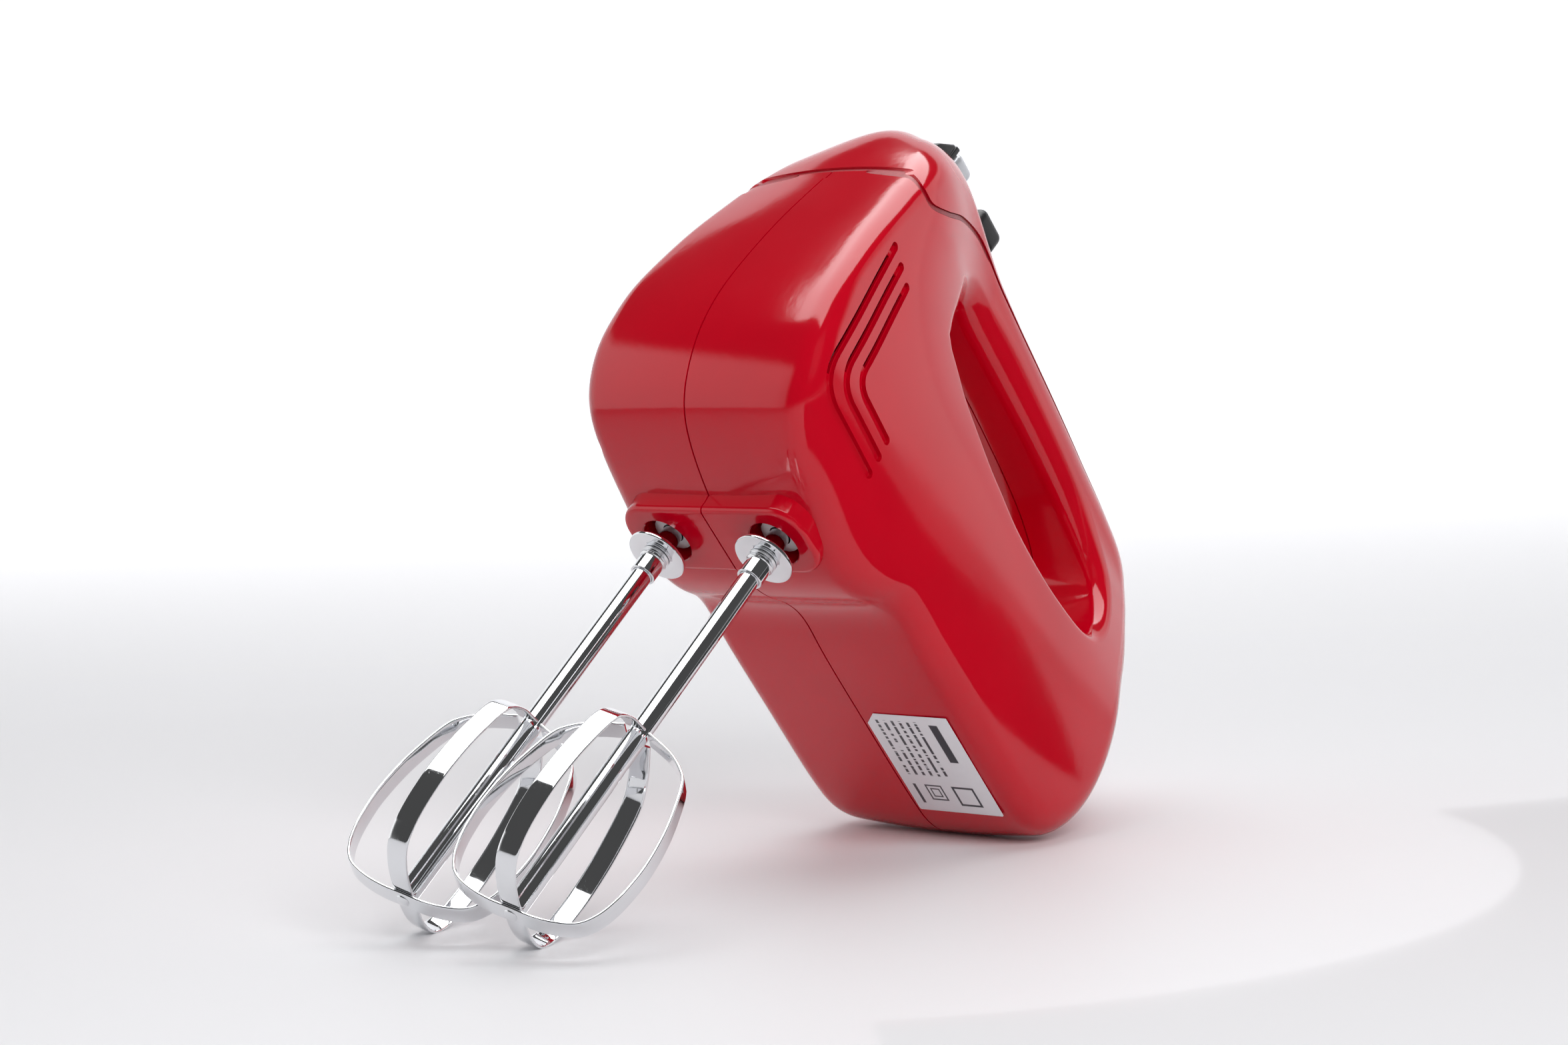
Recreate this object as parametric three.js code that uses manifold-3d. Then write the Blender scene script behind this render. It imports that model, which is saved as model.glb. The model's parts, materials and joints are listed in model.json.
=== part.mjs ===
// Hand mixer with two wire-loop beaters, built as an assembly of separate pieces.
// Lengths are in millimetres and the finished part has +Z up.
// Every piece is first made in the mixer's upright frame: the origin lies midway between the two
// spindle axes at the height of the beater collars, +X runs back towards the heel, +Y to the right
// of someone holding the handle, and +Z from the beaters up to the handle.
// The whole mixer is then tipped until it stands on its heel and its two beaters.
import * as THREE from "three";
import { mergeVertices } from "three/addons/utils/BufferGeometryUtils.js";
import Module from "manifold-3d";

const wasm = await Module();
wasm.setup();

// Driving dimensions
const GAP = 0.3; // left between pieces that touch
const BODY_LENGTH = 195.6;
const BODY_WIDTH = 86;
const WALL = 2.4;
const SPINDLE_SPACING = 40;
const SPINDLE_DIAMETER = 12;
const SPINDLE_BOTTOM = 9;
const SPINDLE_TOP = 60;
const SHAFT_DIAMETER = 6;
const SHAFT_TOP = 42;
const COLLAR_DIAMETER = 17.8;
const COLLAR_THICKNESS = 1.4;
const BEATER_LENGTH = 130; // collar to the bottom of the loops
const LOOP_HEIGHT = 63;
const LOOP_WIDTH = 50;
const STRIP_WIDTH = 6;
const STRIP_THICKNESS = 0.9;
const LOOP_TURN = 22.5; // degrees from the X axis to the second loop's plane
const BOSS_FACE = 5.5;
const BOSS_LENGTH = 24;
const BOSS_WIDTH = SPINDLE_SPACING + 27;
const BOSS_CORNER = 9;
const BOSS_HOLE_DIAMETER = 15.4;
const DRIVE_HEIGHT = 44.5; // motor and worm axis above the collars
const GEAR_TEETH = 20;
const GEAR_PITCH_RADIUS = 15;
const WORM_PITCH_RADIUS = SPINDLE_SPACING / 2 - GEAR_PITCH_RADIUS;
const GEAR_THICKNESS = 12;
const TOOTH_ROOT = 1.6; // of the gears, below the pitch circle
const TOOTH_TIP = 1.2; // above it
const WORM_ROOT = 1.4; // of the thread, below its pitch circle
const WORM_TIP = 1.1;
const ROTOR_RADIUS = 13;
const STACK_LENGTH = 28;
const STATOR_SIZE = 44;
const MOTOR_START = 42; // front of the motor's iron behind the spindle axes
const MOTOR_SHAFT_RADIUS = 3;
const EJECT_TRAVEL = 6;
const SLIDER_TRAVEL = 16;
const SLIDER_LENGTH = 13;
const SLIDER_WIDTH = 14;
const BUTTON_LENGTH = 18.4;
const BUTTON_WIDTH = 16;
const BUTTON_RISE = 9; // above the handle's top
const BUTTON_DEPTH = 8; // below it
const TRIM_DEPTH = 6.5; // of the bright block let into the button's rear
const SLIDER_RISE = 9.2;
const SCREW_RADIUS = 1.6;
const SCREW_HEAD_RADIUS = 3.4;
const SEAL_HEIGHT = 1.5;
const CORD_HOLE_DIAMETER = 7;
const VENT_WIDTH = 2.8;
const VENT_PITCH = 5.7;
const UNDERSIDE = 16;

// Drawn sizes of the body, which the two overall dimensions stretch
const DRAWN_LENGTH = 195.6;
const DRAWN_WIDTH = 86;
const lengthwise = (x) => (x * BODY_LENGTH) / DRAWN_LENGTH;
const widthwise = (y) => (y * BODY_WIDTH) / DRAWN_WIDTH;

// Stations round the body's side view, from the front up over the nose, back along the handle,
// down the rear and forward along the underside. Each is a cross-section from a point on the
// outline to a point on the edge of the finger opening:
// outline x, z, opening x, z, outline corner radius and crown, opening corner radius and crown.
const STATIONS = [
  [-52, 60, 0.5, 93.5, 6.5, 1.7, 6, 0.5],
  [-51, 80, 0, 98, 6.5, 1.7, 6, 0.5],
  [-49, 96, 0.5, 103, 7, 1.7, 6, 0.5],
  [-46.4, 112, 1.5, 107.5, 7.5, 1.7, 7, 0.5],
  [-44.5, 126, 3.5, 111, 10, 2.5, 9, 0.5],
  [-40.5, 138.5, 6, 113, 14, 3, 10, 0.5],
  [-31, 146.4, 9.5, 114.3, 14, 3, 11, 0.7],
  [-12, 147, 15, 115, 13, 3, 12, 1],
  [18, 144.3, 28, 115.3, 12, 3, 12, 1],
  [52, 141.6, 54, 114.8, 12, 3, 11, 1],
  [84, 139, 82, 112.5, 12, 3, 10, 1],
  [108, 136.4, 98, 109, 12, 3, 9, 1],
  [124, 132.5, 106, 105, 12, 3, 8, 1],
  [133, 125, 109.5, 100, 13, 3, 7, 1],
  [137, 113, 111, 94, 14, 3, 6, 0.5],
  [140.3, 96, 110.5, 88, 14, 3, 5, 0.5],
  [141.2, 78, 108, 82, 14, 3, 4, 0.5],
  [143.6, 57, 104, 78, 14, 3, 3, 0.5],
  [143.6, 38, 98, 75.6, 14, 2, 3, 0.5],
  [138.6, 24.5, 92, 74.4, 12, 1.5, 3, 0.5],
  [128.5, 17.5, 86, 73.5, 8, 1, 3, 0.5],
  [114, 15.4, 78, 72.6, 7, 0.3, 3, 0.5],
  [85, 15.4, 66, 72.3, 7, 0.3, 3, 0.5],
  [56, 15.8, 54, 73, 7, 0.3, 3, 0.5],
  [41, 17, 44, 75, 7, 0.3, 3, 0.5],
  [32, 14.4, 36, 76.5, 9, 0.5, 3, 0.5],
  [24, 9.4, 29, 78.5, 9, 0.7, 3, 0.5],
  [12, 6.4, 22, 80.8, 9, 0.7, 3, 0.5],
  [-6, 9.8, 14, 83.6, 9, 1, 3, 0.5],
  [-24, 13.6, 7, 87, 9, 1, 3, 0.5],
  [-38, 20, 2, 89.5, 8, 1.5, 4, 0.5],
  [-47, 33, 0.5, 91.6, 8, 2, 5, 0.5],
  [-51, 46, 0.3, 92.5, 8, 2, 6, 0.5],
];
const SAMPLES = 36;

// Half-width of the body by height: the head in front, the tail and handle behind
const HEAD_WIDTHS = [
  [0, 38], [20, 42], [35, 43.5], [50, 42.5], [70, 40], [85, 38.2],
  [100, 36], [112, 34], [122, 31], [132, 26], [142, 20], [150, 17],
];
const TAIL_WIDTHS = [
  [0, 37], [15, 40.5], [28, 42.5], [45, 42.5], [60, 41], [72, 38.5],
  [85, 34], [97, 29], [108, 24], [118, 19.5], [128, 17.2], [150, 16.5],
];
const HEAD_TO_TAIL = [-38, 20];

// Side view of the joint between the top cover and the housing, front to rear
const SEAM = [
  [-60, 114], [-45.5, 113.8], [-44, 110.5], [-41, 107.8], [-36, 107.6], [-28, 114], [-18.8, 123.3],
  [-7.3, 131.7], [3, 134.8], [20, 135.3], [60, 133.4], [100, 130.5], [124, 128.2], [150, 126],
];

// Housing screws: places in the side view
const SCREWS = { head_upper: [-38, 98], head_lower: [-24, 20.5], heel: [122, 25],
  rear: [126, 84], handle_rear: [120, 118] };
const POST_RADIUS = 5.4; // round the screw wells in the right half
const PLUG_RADIUS = 4; // round the threads in the left half
const SCREW_SEAT = 10; // side of the parting plane where the screw heads sit
const SCREW_REACH = 12;

// Materials
const paint = (color, roughness, metalness) =>
  new THREE.MeshStandardMaterial({ color, roughness, metalness });
const redPlastic = paint(0xb8001c, 0.18, 0);
const darkRed = paint(0x6a0010, 0.35, 0);
const blackPlastic = paint(0x111113, 0.35, 0);
const chrome = paint(0xe6e8ea, 0.08, 1);
const steel = paint(0x9a9ca0, 0.35, 1);
const iron = paint(0x55585c, 0.5, 1);
const copper = paint(0xb06a35, 0.4, 1);
const brass = paint(0xc9a655, 0.3, 1);
const nylon = paint(0xe8e6dc, 0.5, 0);
const carbon = paint(0x222222, 0.8, 0);
const labelWhite = paint(0xf2f2f2, 0.5, 0);

const mixer = new THREE.Group();

function add(name, shape, material) {
  const geometry = shape.isBufferGeometry ? shape : geometryOf(shape);
  const mesh = new THREE.Mesh(geometry, material);
  mesh.name = name;
  mixer.add(mesh);
  return mesh;
}

// A closed three.js geometry as a solid for cutting and joining.
function solid(geometry) {
  const bare = geometry.clone();
  bare.deleteAttribute("normal");
  bare.deleteAttribute("uv");
  const merged = mergeVertices(bare, 1e-3);
  return new wasm.Manifold(new wasm.Mesh({
    numProp: 3,
    vertProperties: merged.attributes.position.array,
    triVerts: new Uint32Array(merged.index.array),
  }));
}

function geometryOf(shape) {
  const cut = shape.getMesh();
  const geometry = new THREE.BufferGeometry();
  geometry.setAttribute("position", new THREE.BufferAttribute(cut.vertProperties, 3));
  geometry.setIndex(new THREE.BufferAttribute(cut.triVerts, 1));
  geometry.computeVertexNormals();
  return geometry;
}

const joined = (shapes) => shapes.reduce((whole, next) => whole.add(next));
const cutAll = (shape, tools) => tools.reduce((rest, tool) => rest.subtract(tool), shape);

// Basic shapes, each lying along the named axis through (x, y, z)
function along(geometry, axis, x, y, z) {
  if (axis === "x") geometry.rotateZ(-Math.PI / 2);
  if (axis === "z") geometry.rotateX(Math.PI / 2);
  return geometry.translate(x, y, z);
}

const rod = (radius, length, axis, x, y, z, sides = 24) =>
  along(new THREE.CylinderGeometry(radius, radius, length, sides), axis, x, y, z);

function tube(outer, inner, length, axis, x, y, z, sides = 24) {
  const half = length / 2;
  const ring = [[inner, -half], [outer, -half], [outer, half], [inner, half], [inner, -half]];
  return along(new THREE.LatheGeometry(ring.map((p) => new THREE.Vector2(...p)), sides), axis, x, y, z);
}

function block(low, high) {
  const size = high.map((value, i) => value - low[i]);
  return new THREE.BoxGeometry(...size).translate(...low.map((value, i) => value + size[i] / 2));
}

// A polygon of the side view, given as x, z pairs, carried across the body from one y to another.
function sidePrism(points, yLow, yHigh) {
  const outline = new THREE.Shape(points.map((p) => new THREE.Vector2(...p)));
  const prism = new THREE.ExtrudeGeometry(outline, { depth: yHigh - yLow, bevelEnabled: false });
  return prism.rotateX(Math.PI / 2).translate(0, yHigh, 0);
}

// A plate drawn in plan as a three.js shape, from one height to another.
const plate = (shape, zLow, zHigh, curveSegments = 6) =>
  new THREE.ExtrudeGeometry(shape, { depth: zHigh - zLow, bevelEnabled: false, curveSegments })
    .translate(0, 0, zLow);

function roundedRectangle(length, width, corner) {
  const [a, b, r] = [length / 2, width / 2, corner];
  const shape = new THREE.Shape();
  shape.moveTo(a - r, -b).absarc(a - r, -b + r, r, -Math.PI / 2, 0);
  shape.absarc(a - r, b - r, r, 0, Math.PI / 2);
  shape.absarc(-a + r, b - r, r, Math.PI / 2, Math.PI);
  shape.absarc(-a + r, -b + r, r, Math.PI, 1.5 * Math.PI);
  return shape;
}

// Body surface

function readTable(table, height) {
  const next = table.findIndex(([z]) => z > height);
  if (next < 1) return table[next === 0 ? 0 : table.length - 1][1];
  const [[z0, w0], [z1, w1]] = [table[next - 1], table[next]];
  return w0 + ((w1 - w0) * (height - z0)) / (z1 - z0);
}

function halfWidth(x, z) {
  const blend = THREE.MathUtils.smoothstep(x, ...HEAD_TO_TAIL.map(lengthwise));
  return widthwise(THREE.MathUtils.lerp(readTable(HEAD_WIDTHS, z), readTable(TAIL_WIDTHS, z), blend));
}

// A station at any place round the ring, on a smooth curve through the listed ones.
function stationAt(place) {
  const first = Math.floor(place);
  const t = place - first;
  const [a, b, c, d] = [-1, 0, 1, 2].map((k) => STATIONS[(first + k + STATIONS.length) % STATIONS.length]);
  return b.map((value, i) => 0.5 * (2 * value + (c[i] - a[i]) * t
    + (2 * a[i] - 5 * value + 4 * c[i] - d[i]) * t ** 2
    + (3 * value - a[i] - 3 * c[i] + d[i]) * t ** 3));
}

// One cross-section, inset from the outer surface: points from the outline over the left side to
// the finger opening, then back over the right side.
function crossSection(station, inset) {
  const [ox, oz, hx, hz, ...corners] = station;
  const outline = new THREE.Vector2(lengthwise(ox), oz);
  const inward = new THREE.Vector2(lengthwise(hx), hz).sub(outline);
  const span = inward.length() - 2 * inset;
  inward.normalize();
  const smallest = 0.8;
  const [radius, crown, holeRadius, holeCrown] = [
    Math.max(corners[0] - inset, smallest), corners[1],
    Math.max(corners[2] - inset, smallest), corners[3],
  ];
  const fit = Math.min(1, (span - smallest) / (radius + crown + holeRadius + holeCrown));
  const [r, c, hr, hc] = [radius, crown, holeRadius, holeCrown].map((value) => value * fit);
  const profile = [[0, 0, r]]; // depth, share of the flat, drop from the side
  for (const turn of [0, 45, 90].map(THREE.MathUtils.degToRad)) {
    profile.push([c + r * (1 - Math.cos(turn)), 1, r * (1 - Math.sin(turn))]);
  }
  profile.push([(c + r + span - hc - hr) / 2, 1, 0]);
  for (const turn of [90, 45, 0].map(THREE.MathUtils.degToRad)) {
    profile.push([span - hc - hr + hr * Math.cos(turn), 1, hr * (1 - Math.sin(turn))]);
  }
  profile.push([span, 0, hr]);
  const left = profile.map(([depth, share, drop]) => {
    const x = outline.x + inward.x * (inset + depth);
    const z = outline.y + inward.y * (inset + depth);
    return [x, -(halfWidth(x, z) - inset - drop) * share, z];
  });
  const right = left.slice(1, -1).reverse().map(([x, y, z]) => [x, -y, z]);
  return [...left, ...right];
}

function bodySolid(inset) {
  const rings = Array.from({ length: SAMPLES }, (_, i) =>
    crossSection(stationAt((i * STATIONS.length) / SAMPLES), inset));
  const around = rings[0].length;
  const index = [];
  for (let i = 0; i < SAMPLES; i += 1) {
    for (let j = 0; j < around; j += 1) {
      const [next, beside] = [(i + 1) % SAMPLES, (j + 1) % around];
      const corners = [i * around + j, next * around + j, next * around + beside, i * around + beside];
      index.push(corners[0], corners[2], corners[1], corners[0], corners[3], corners[2]);
    }
  }
  const geometry = new THREE.BufferGeometry();
  geometry.setAttribute("position", new THREE.Float32BufferAttribute(rings.flat(2), 3));
  geometry.setIndex(index);
  return solid(geometry);
}

const FAR = 200; // reach of the cutting blocks past every piece
const seamLine = SEAM.map(([x, z]) => [lengthwise(x), z]);
const ends = [[seamLine.at(-1)[0], FAR], [seamLine[0][0], FAR]];

// Everything above the cover joint, lowered by a distance.
const aboveSeam = (lower) =>
  solid(sidePrism([...seamLine.map(([x, z]) => [x, z - lower]), ...ends], -FAR, FAR));

const outerBody = bodySolid(0);
const shell = outerBody.subtract(bodySolid(WALL));

function ventCutter(number) {
  const shift = number * VENT_PITCH;
  const [left, low] = [-39.2 + shift, 30 + shift];
  const corner = 9 - shift / 2;
  const [top, right] = [84 - number * 2, -4 - number];
  const middle = new THREE.CurvePath();
  middle.add(new THREE.LineCurve(new THREE.Vector2(left - 1.5, top), new THREE.Vector2(left, low + corner)));
  middle.add(new THREE.QuadraticBezierCurve(new THREE.Vector2(left, low + corner),
    new THREE.Vector2(left + 0.5, low), new THREE.Vector2(left + corner, low - 0.5)));
  middle.add(new THREE.LineCurve(new THREE.Vector2(left + corner, low - 0.5),
    new THREE.Vector2(right, low - 1.5)));
  const line = middle.curves.flatMap((curve, i) => curve.getPoints(i === 1 ? 2 : 1));
  const path = line.filter((p, i) => i === 0 || p.distanceTo(line[i - 1]) > 0.01);
  const side = (sign) => path.map((p, i) => {
    const before = path[Math.max(i - 1, 0)];
    const after = path[Math.min(i + 1, path.length - 1)];
    const across = after.clone().sub(before).normalize();
    return [lengthwise(p.x - (sign * across.y * VENT_WIDTH) / 2), p.y + (sign * across.x * VENT_WIDTH) / 2];
  });
  return sidePrism([...side(1), ...side(-1).reverse()], -FAR, FAR);
}

function bossSolid() {
  const shape = roundedRectangle(BOSS_LENGTH - 3, BOSS_WIDTH - 3, BOSS_CORNER);
  const boss = new THREE.ExtrudeGeometry(shape, { depth: 7, bevelThickness: 1.5, bevelSize: 1.5,
    bevelSegments: 1, curveSegments: 3 });
  return solid(boss.translate(-0.5, 0, BOSS_FACE + 1.5));
}

const spindleSides = [-1, 1].map((side) => (side * SPINDLE_SPACING) / 2);
const spindleHoles = () => spindleSides.map((y) =>
  solid(rod(BOSS_HOLE_DIAMETER / 2, 30, "z", 0, y, BOSS_FACE, 20)));

// Room that the gears turn in, wherever they come near the wall
const gearRooms = () => spindleSides.map((y) => solid(rod(GEAR_PITCH_RADIUS + TOOTH_TIP + GAP,
  GEAR_THICKNESS + 2 * GAP, "z", 0, y, DRIVE_HEIGHT, 32)));

const cordInlet = { x: lengthwise(142), z: 68, radius: CORD_HOLE_DIAMETER / 2 + 1.4, flange: 8 };
const buttonPlace = { x: -18.8, z: 146.5 };
const sliderPlace = { x: 8.4, z: 146 };

function housing(side) {
  const [yLow, yHigh] = side < 0 ? [-FAR, -GAP / 2] : [GAP / 2, FAR];
  const half = solid(block([-FAR, yLow, -FAR], [FAR, yHigh, FAR]));
  const posts = Object.values(SCREWS).map(([x, z]) =>
    solid(rod(side < 0 ? PLUG_RADIUS : POST_RADIUS, 60, "y", lengthwise(x), side * 30, z, 12)));
  const walls = joined([shell.subtract(aboveSeam(SEAL_HEIGHT + 2 * GAP)), bossSolid()]).intersect(half);
  const filled = joined([walls, joined(posts).intersect(bodySolid(WALL / 2)).intersect(half)])
    .subtract(aboveSeam(SEAL_HEIGHT + 2 * GAP));
  const holes = Object.values(SCREWS).flatMap(([x, z]) => {
    const shank = solid(rod(SCREW_RADIUS + GAP, 2 * (SCREW_REACH + 2), "y", lengthwise(x), 0, z, 8));
    const recess = solid(rod(SCREW_HEAD_RADIUS + 0.6, 60, "y", lengthwise(x), SCREW_SEAT + 30, z, 12));
    return side < 0 ? [shank] : [shank, recess];
  });
  const vents = [0, 1, 2].map((number) => solid(ventCutter(number)));
  const inlet = solid(rod(cordInlet.radius + GAP, 20, "x", cordInlet.x, 0, cordInlet.z, 12));
  const flat = solid(block([lengthwise(50), -FAR, -FAR], [lengthwise(122), FAR, UNDERSIDE]));
  return cutAll(filled, [...holes, ...vents, ...spindleHoles(), ...gearRooms(), inlet, flat]);
}

function topCover() {
  const opening = block([buttonPlace.x - BUTTON_LENGTH / 2 - 0.5, -BUTTON_WIDTH / 2 - 0.5, 120],
    [buttonPlace.x + BUTTON_LENGTH / 2 + 0.5, BUTTON_WIDTH / 2 + 0.5, FAR]);
  const slot = block([sliderPlace.x - 3, -2.6, 120], [sliderPlace.x + SLIDER_TRAVEL + 3, 2.6, FAR]);
  return cutAll(shell.intersect(aboveSeam(0)), [solid(opening), solid(slot)]);
}

function coverSeal() {
  const band = bodySolid(0.5).subtract(bodySolid(WALL));
  return band.intersect(aboveSeam(SEAL_HEIGHT + GAP)).subtract(aboveSeam(GAP));
}

// Drive

function gear(y, turn) {
  const tooth = (2 * Math.PI) / GEAR_TEETH;
  const [root, tip] = [GEAR_PITCH_RADIUS - TOOTH_ROOT, GEAR_PITCH_RADIUS + TOOTH_TIP];
  const shape = new THREE.Shape();
  for (let i = 0; i < GEAR_TEETH; i += 1) {
    const middle = turn + i * tooth;
    for (const [radius, share] of [[root, -0.28], [tip, -0.1], [tip, 0.1], [root, 0.28]]) {
      const angle = middle + share * tooth;
      const point = [radius * Math.cos(angle), radius * Math.sin(angle)];
      if (i === 0 && share === -0.28) shape.moveTo(...point);
      else shape.lineTo(...point);
    }
  }
  shape.holes.push(new THREE.Path().absarc(0, 0, SPINDLE_DIAMETER / 2 + GAP, 0, 2 * Math.PI, true));
  const [low, high] = [DRIVE_HEIGHT - GEAR_THICKNESS / 2, DRIVE_HEIGHT + GEAR_THICKNESS / 2];
  return plate(shape, low, high, 8).translate(0, y, 0);
}

const spindle = (y) => tube(SPINDLE_DIAMETER / 2, SHAFT_DIAMETER / 2 + GAP, SPINDLE_TOP - SPINDLE_BOTTOM,
  "z", 0, y, (SPINDLE_TOP + SPINDLE_BOTTOM) / 2, 20);

// Right-handed worm on the X axis. Each section is the last one turned by one point, so every
// edge along the thread follows the helix.
function wormSolid() {
  const lead = (2 * Math.PI * GEAR_PITCH_RADIUS) / GEAR_TEETH;
  const root = WORM_PITCH_RADIUS - WORM_ROOT;
  const radii = [WORM_PITCH_RADIUS + WORM_TIP, WORM_PITCH_RADIUS, root, root, root, root, root,
    WORM_PITCH_RADIUS];
  const around = radii.length;
  const layers = 5 * around;
  const points = [];
  for (let i = 0; i <= layers; i += 1) {
    const x = ((i - layers / 2) * lead) / around;
    for (let j = 0; j < around; j += 1) {
      const angle = ((i + j) * 2 * Math.PI) / around;
      points.push([x, radii[j] * Math.cos(angle), radii[j] * Math.sin(angle)]);
    }
  }
  const index = [];
  for (let i = 0; i < layers; i += 1) {
    for (let j = 0; j < around; j += 1) {
      const beside = (j + 1) % around;
      const corners = [i * around + j, i * around + beside, (i + 1) * around + beside, (i + 1) * around + j];
      index.push(corners[0], corners[1], corners[3], corners[1], corners[2], corners[3]);
    }
  }
  const last = points.length;
  points.push([points[0][0], 0, 0], [points[last - 1][0], 0, 0]);
  for (let j = 0; j < around; j += 1) {
    const beside = (j + 1) % around;
    index.push(last, beside, j, last + 1, layers * around + j, layers * around + beside);
  }
  const geometry = new THREE.BufferGeometry();
  geometry.setAttribute("position", new THREE.Float32BufferAttribute(points.flat(), 3));
  geometry.setIndex(index);
  return solid(geometry.translate(0, 0, DRIVE_HEIGHT));
}

const onDrive = (outer, inner, start, length, sides) =>
  tube(outer, inner, length, "x", start + length / 2, 0, DRIVE_HEIGHT, sides);

const shaftHole = MOTOR_SHAFT_RADIUS + GAP;
const stackEnd = MOTOR_START + STACK_LENGTH;
const rearBracket = stackEnd + 25;
const fanStart = rearBracket + 6;

function armatureShaft() {
  const [front, rear] = [-27, fanStart + 11];
  const shaft = solid(rod(MOTOR_SHAFT_RADIUS, rear - front, "x", (front + rear) / 2, 0, DRIVE_HEIGHT, 20));
  return joined([shaft, wormSolid()]);
}

// A star-shaped disc on the drive axis: slotted iron or fan blades.
function starOnDrive(points, hub, tip, toothShare, start, length) {
  const step = (2 * Math.PI) / points;
  const shape = new THREE.Shape();
  for (let i = 0; i < points; i += 1) {
    for (const [radius, share] of [[hub, -0.5 * toothShare], [tip, -0.5 * toothShare],
      [tip, 0.5 * toothShare], [hub, 0.5 * toothShare]]) {
      const angle = (i + share) * step;
      const point = [radius * Math.cos(angle), radius * Math.sin(angle)];
      if (i === 0 && radius === hub && share < 0) shape.moveTo(...point);
      else shape.lineTo(...point);
    }
  }
  shape.holes.push(new THREE.Path().absarc(0, 0, shaftHole, 0, 2 * Math.PI, true));
  return plate(shape, 0, length, 8).rotateY(Math.PI / 2).translate(start, 0, DRIVE_HEIGHT);
}

const COIL = { inner: 10.8, outer: 17.2, low: 9.5, high: 17, end: 5.2 };
const STATOR_CORNER = 9;
const AIR_GAP = 0.6;

function stator() {
  const half = STATOR_SIZE / 2;
  const stack = solid(plate(roundedRectangle(STATOR_SIZE, STATOR_SIZE, STATOR_CORNER), 0, STACK_LENGTH, 4)
    .rotateY(Math.PI / 2).translate(MOTOR_START, 0, DRIVE_HEIGHT));
  const bore = solid(rod(ROTOR_RADIUS + AIR_GAP, FAR, "x", MOTOR_START, 0, DRIVE_HEIGHT, 28));
  const windows = [-1, 1].map((side) => {
    const edges = [side * (COIL.inner - GAP), side * (COIL.outer + GAP)].sort((a, b) => a - b);
    const reach = Math.min(COIL.high + GAP, half - 3);
    return solid(block([0, edges[0], DRIVE_HEIGHT - reach], [FAR, edges[1], DRIVE_HEIGHT + reach]));
  });
  return cutAll(stack, [bore, ...windows]);
}

function fieldCoil(side) {
  const heights = [side * COIL.low, side * COIL.high].map((z) => z + DRIVE_HEIGHT).sort((a, b) => a - b);
  const [front, rear] = [MOTOR_START - GAP, stackEnd + GAP];
  const turns = solid(block([front - COIL.end, -COIL.outer, heights[0]],
    [rear + COIL.end, COIL.outer, heights[1]]));
  return turns.subtract(solid(block([front, -COIL.inner, 0], [rear, COIL.inner, FAR])));
}

const BRACKET = { height: 42, width: 60, corner: 8 };

function bracketPlate(x, thickness, hole) {
  const shape = roundedRectangle(BRACKET.height, BRACKET.width, BRACKET.corner);
  shape.holes.push(new THREE.Path().absarc(0, 0, hole, 0, 2 * Math.PI, true));
  return plate(shape, 0, thickness).rotateY(Math.PI / 2).translate(x, 0, DRIVE_HEIGHT);
}

const BUSH_RADIUS = 9;
const BUSH_LENGTH = 6;
const GEARBOX_PLATE = {
  length: 2 * (lengthwise(-SCREWS.head_lower[0]) - POST_RADIUS - 2 * GAP),
  width: SPINDLE_SPACING + 26,
  corner: 8,
  thickness: 3,
};

function gearboxPlate(zLow) {
  const shape = roundedRectangle(GEARBOX_PLATE.length, GEARBOX_PLATE.width, GEARBOX_PLATE.corner);
  for (const y of spindleSides) {
    shape.holes.push(new THREE.Path().absarc(0, y, BUSH_RADIUS + GAP, 0, 2 * Math.PI, true));
  }
  return plate(shape, zLow, zLow + GEARBOX_PLATE.thickness, 8);
}

const bush = (y, zLow) =>
  tube(BUSH_RADIUS, SPINDLE_DIAMETER / 2 + GAP, BUSH_LENGTH, "z", 0, y, zLow + BUSH_LENGTH / 2, 20);

// Brushes press on the commutator from both sides.
const COMMUTATOR_RADIUS = 8.5;
const BRUSH = { behindStack: 12, size: 6, height: 5, near: COMMUTATOR_RADIUS + 0.6,
  far: COMMUTATOR_RADIUS + 13 };
const HOLDER = { wall: 2, near: COMMUTATOR_RADIUS + 3, far: COMMUTATOR_RADIUS + 15 };

function brush(side) {
  const x = stackEnd + BRUSH.behindStack;
  const edges = [side * BRUSH.near, side * BRUSH.far].sort((a, b) => a - b);
  return block([x, edges[0], DRIVE_HEIGHT - BRUSH.height / 2],
    [x + BRUSH.size, edges[1], DRIVE_HEIGHT + BRUSH.height / 2]);
}

function brushHolder(side) {
  const x = stackEnd + BRUSH.behindStack;
  const edges = [side * HOLDER.near, side * HOLDER.far].sort((a, b) => a - b);
  const half = BRUSH.height / 2;
  const box = solid(block([x - HOLDER.wall, edges[0], DRIVE_HEIGHT - half - HOLDER.wall],
    [x + BRUSH.size + HOLDER.wall, edges[1], DRIVE_HEIGHT + half + HOLDER.wall]));
  return box.subtract(solid(block([x - GAP, -FAR, DRIVE_HEIGHT - half - GAP],
    [x + BRUSH.size + GAP, FAR, DRIVE_HEIGHT + half + GAP])));
}

// Beaters

const HUB = { wall: 1.2, length: 6 };
const RIVET = { radius: 1.8, height: 0.7 };

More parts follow.
